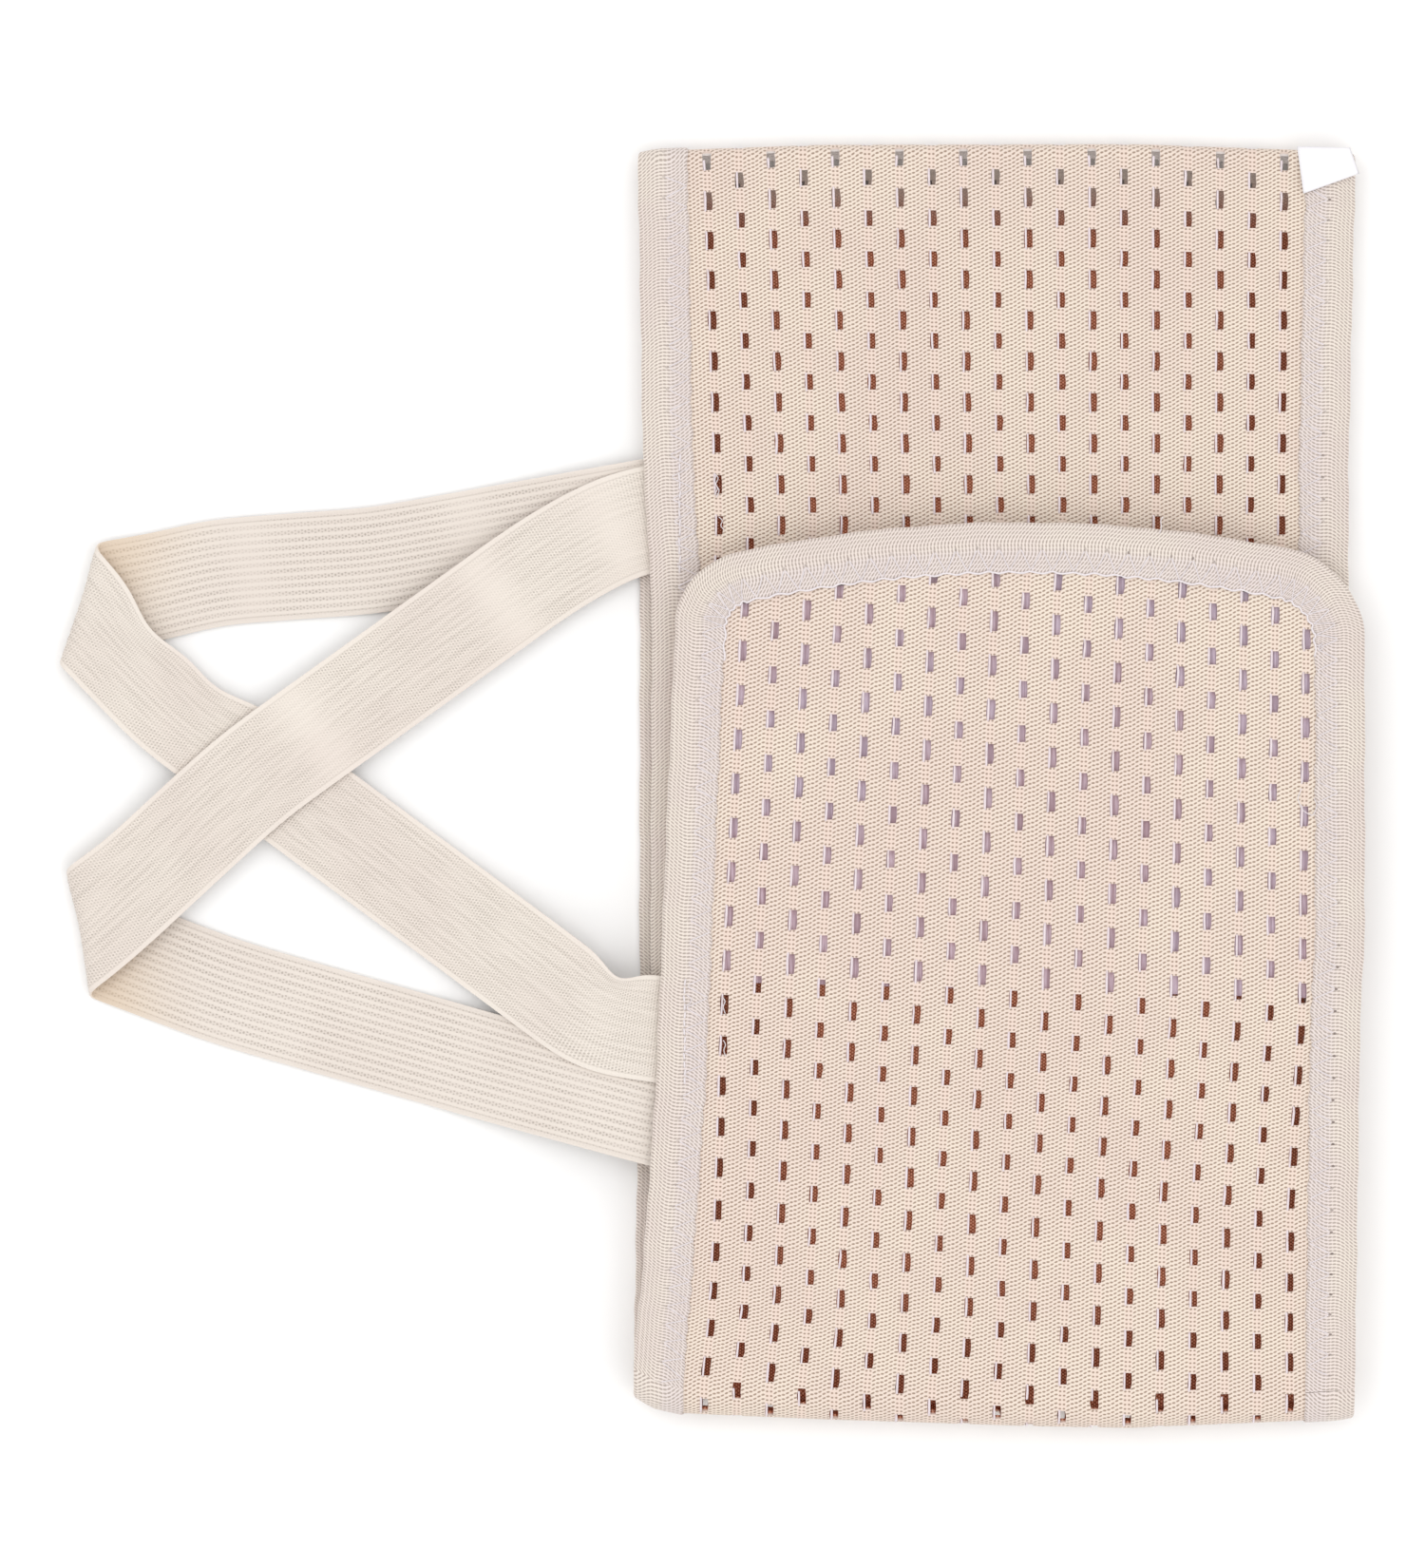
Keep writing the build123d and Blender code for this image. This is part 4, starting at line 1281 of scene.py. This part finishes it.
def pads():
    """The hook panel and the loop panel inside the rounded ends."""
    for node, name, ply, outline, low_ys, material in (
        ("hook_panel", "hook_panel_tape", "outer_end", OUTER_OUTLINE, HOOK_FOOT, HOOK),
        ("loop_panel", "loop_panel_tape", "inner_end", INNER_OUTLINE, LOOP_FOOT, LOOP),
    ):
        low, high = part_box(node)
        z_low, z_high = low.z / MM + 0.1, high.z / MM - 0.1
        inset = outline + inward_normals(outline) * (BINDING_W + 0.3)
        heights = np.linspace(0, 1, 90)[:, None]
        shares = np.linspace(0, 1, 70)[None, :]
        foot = low_ys[0] + (low_ys[1] - low_ys[0]) * shares
        y = foot + (inset[:, 1].max() - 0.3 - foot) * heights
        left, right = sides_at(inset, y)
        x = left + (right - left) * shares
        edges = BELT[ply]
        sag = relief(ply, x, y, edge_x(edges.left, y), edge_x(edges.right, y))
        puff = 0.08 * np.sin(x * 0.9) * np.sin(y * 0.8)
        top = np.stack([x, y, z_high + sag - 0.08], -1).reshape(-1, 3)
        under = np.stack([x, y, z_low + sag + 0.08 + puff], -1).reshape(-1, 3)
        faces = np.concatenate(closed_sheet(*x.shape))
        uv = np.tile(np.stack([x, y], -1).reshape(-1, 2), (2, 1))
        obj = new_object(name, np.concatenate([top, under]), faces, [material], uv, sharp=50)
        lay(obj, "front_flap", node.replace("panel", "tape"), node)
        width, length = np.ptp(x) * MM, np.ptp(y) * MM
        area = float(((right - left)[:, 0] * np.gradient(y[:, 0])).sum()) * MM * MM
        area = min(area, width * length)


def care_label():
    """A blank satin label folded in half, standing a little off the binding."""
    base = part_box("care_label")[0].z / MM
    a, b, c, d = (np.array(p) for p in LABEL_CORNERS)
    along = 26
    across = 14
    section = []
    length = np.linalg.norm(b - a)
    for i in range(along + 1):
        s = i / along
        if s < 0.47:
            section.append((s / 0.47, 0.0))
        elif s > 0.53:
            section.append(((1 - s) / 0.47, 1.0))
        else:
            angle = (s - 0.47) / 0.06 * math.pi
            section.append((1 + 0.02 * math.sin(angle), (1 - math.cos(angle)) / 2))
    verts, uv = [], []
    for i, (share, layer) in enumerate(section):
        for j in range(across + 1):
            m = j / across
            left = a + (d - a) * m
            right = b + (c - b) * m
            p = left + (right - left) * share
            lift = 0.12 + layer * (0.42 + 0.25 * share * math.sin(math.pi * m))
            lift += 0.35 * share * share * (0.3 + 0.7 * m)
            verts.append((p[0], p[1], base + lift))
            uv.append((m * 14, i * length / along * 2))
    count = across + 1
    faces = [
        (i * count + j, i * count + j + 1, (i + 1) * count + j + 1, (i + 1) * count + j)
        for i in range(along)
        for j in range(across)
    ]
    obj = new_object("care_label_satin", verts, faces, [SATIN], uv)
    solid = obj.modifiers.new("thickness", "SOLIDIFY")
    solid.thickness = 0.00012
    solid.offset = 0
    lay(obj, "label", "label_satin", "care_label")


def straps():
    """Both shoulder straps, each sewn to the front at one end and to the flap at the other."""
    made = []
    for node, strap in (("shoulder_strap_a", STRAP_A), ("shoulder_strap_b", STRAP_B)):
        made.append((node, *strap_piece(f"{node}_elastic", strap)))
    for node, piece, length in made:
        fold(piece, (0, STRAP_STILL_Y, 0), (0, STRAP_MOVED_Y, 0), "strap_elastic", node)


BACK, FRONT, BACK_YARN, FRONT_YARN = plain_plies()
INNER, INNER_YARN, OUTER, OUTER_YARN = end_plies()
INNER_BEND, OUTER_BEND, BEND_YARN = bend_plies()
TRACKS = bindings_and_seams()
anchor_seams()
thread_ends("thread_ends_front", FRONT_ENDS, "back_half")
thread_ends("thread_ends_flap", FLAP_ENDS, "front_flap")
pads()
care_label()
straps()


def binding_sheets():
    """Works out each binding's length, the front ones with their inner bend, and keeps none of it."""
    for name, (piece, track) in TRACKS.items():
        if name.startswith("inner_bend"):
            continue
        length = (track.run[-1] - track.run[0]) * MM
        if name.startswith("front"):
            bend = TRACKS[name.replace("front", "inner_bend")]
            length += (bend[1].run[-1] - bend[1].run[0]) * MM


binding_sheets()

# ---------------------------------------------------------------- studio
FRAME_H = 442.2  # the view's height at the belt, in millimetres
LENS = 300.0
SENSOR = 36.0
LOOK_AT = (0.27, 0.67, 10.0)
# Name, place and size in metres, and power in watts.
LAMPS = (("key", (-0.5, 0.4, 1.7), 1.1, 4.6), ("fill", (0.6, -0.6, 1.7), 1.2, 5.4))


def studio():
    world = bpy.data.worlds.new("studio")
    bpy.context.scene.world = world
    world.use_nodes = True
    background = world.node_tree.nodes["Background"]
    background.inputs["Color"].default_value = (1.0, 0.995, 0.99, 1)
    background.inputs["Strength"].default_value = 1.0
    bpy.context.scene.view_settings.view_transform = "Standard"
    floor_mesh = bpy.data.meshes.new("floor")
    half, sink = 6.0, -0.0004
    corners = [(-half, -half, sink), (half, -half, sink), (half, half, sink), (-half, half, sink)]
    floor_mesh.from_pydata(corners, [], [(0, 1, 2, 3)])
    floor_mesh.materials.append(floor_material())
    floor = bpy.data.objects.new("floor", floor_mesh)
    bpy.context.scene.collection.objects.link(floor)
    for name, place, size, power in LAMPS:
        light = bpy.data.lights.new(name, "AREA")
        light.size = size
        light.energy = power
        lamp = bpy.data.objects.new(name, light)
        lamp.location = place
        back = -np.array(place) / np.linalg.norm(place)
        lamp.rotation_euler = (math.acos(-back[2]), 0, math.atan2(-back[0], back[1]))
        bpy.context.scene.collection.objects.link(lamp)
    camera = bpy.data.objects.new("camera", bpy.data.cameras.new("camera"))
    camera.data.lens = LENS
    camera.data.sensor_width = SENSOR
    camera.data.clip_start, camera.data.clip_end = 0.01, 20
    camera.location = (LOOK_AT[0] * MM, LOOK_AT[1] * MM, (LOOK_AT[2] + FRAME_H * LENS / SENSOR) * MM)
    bpy.context.scene.collection.objects.link(camera)
    bpy.context.scene.camera = camera


studio()
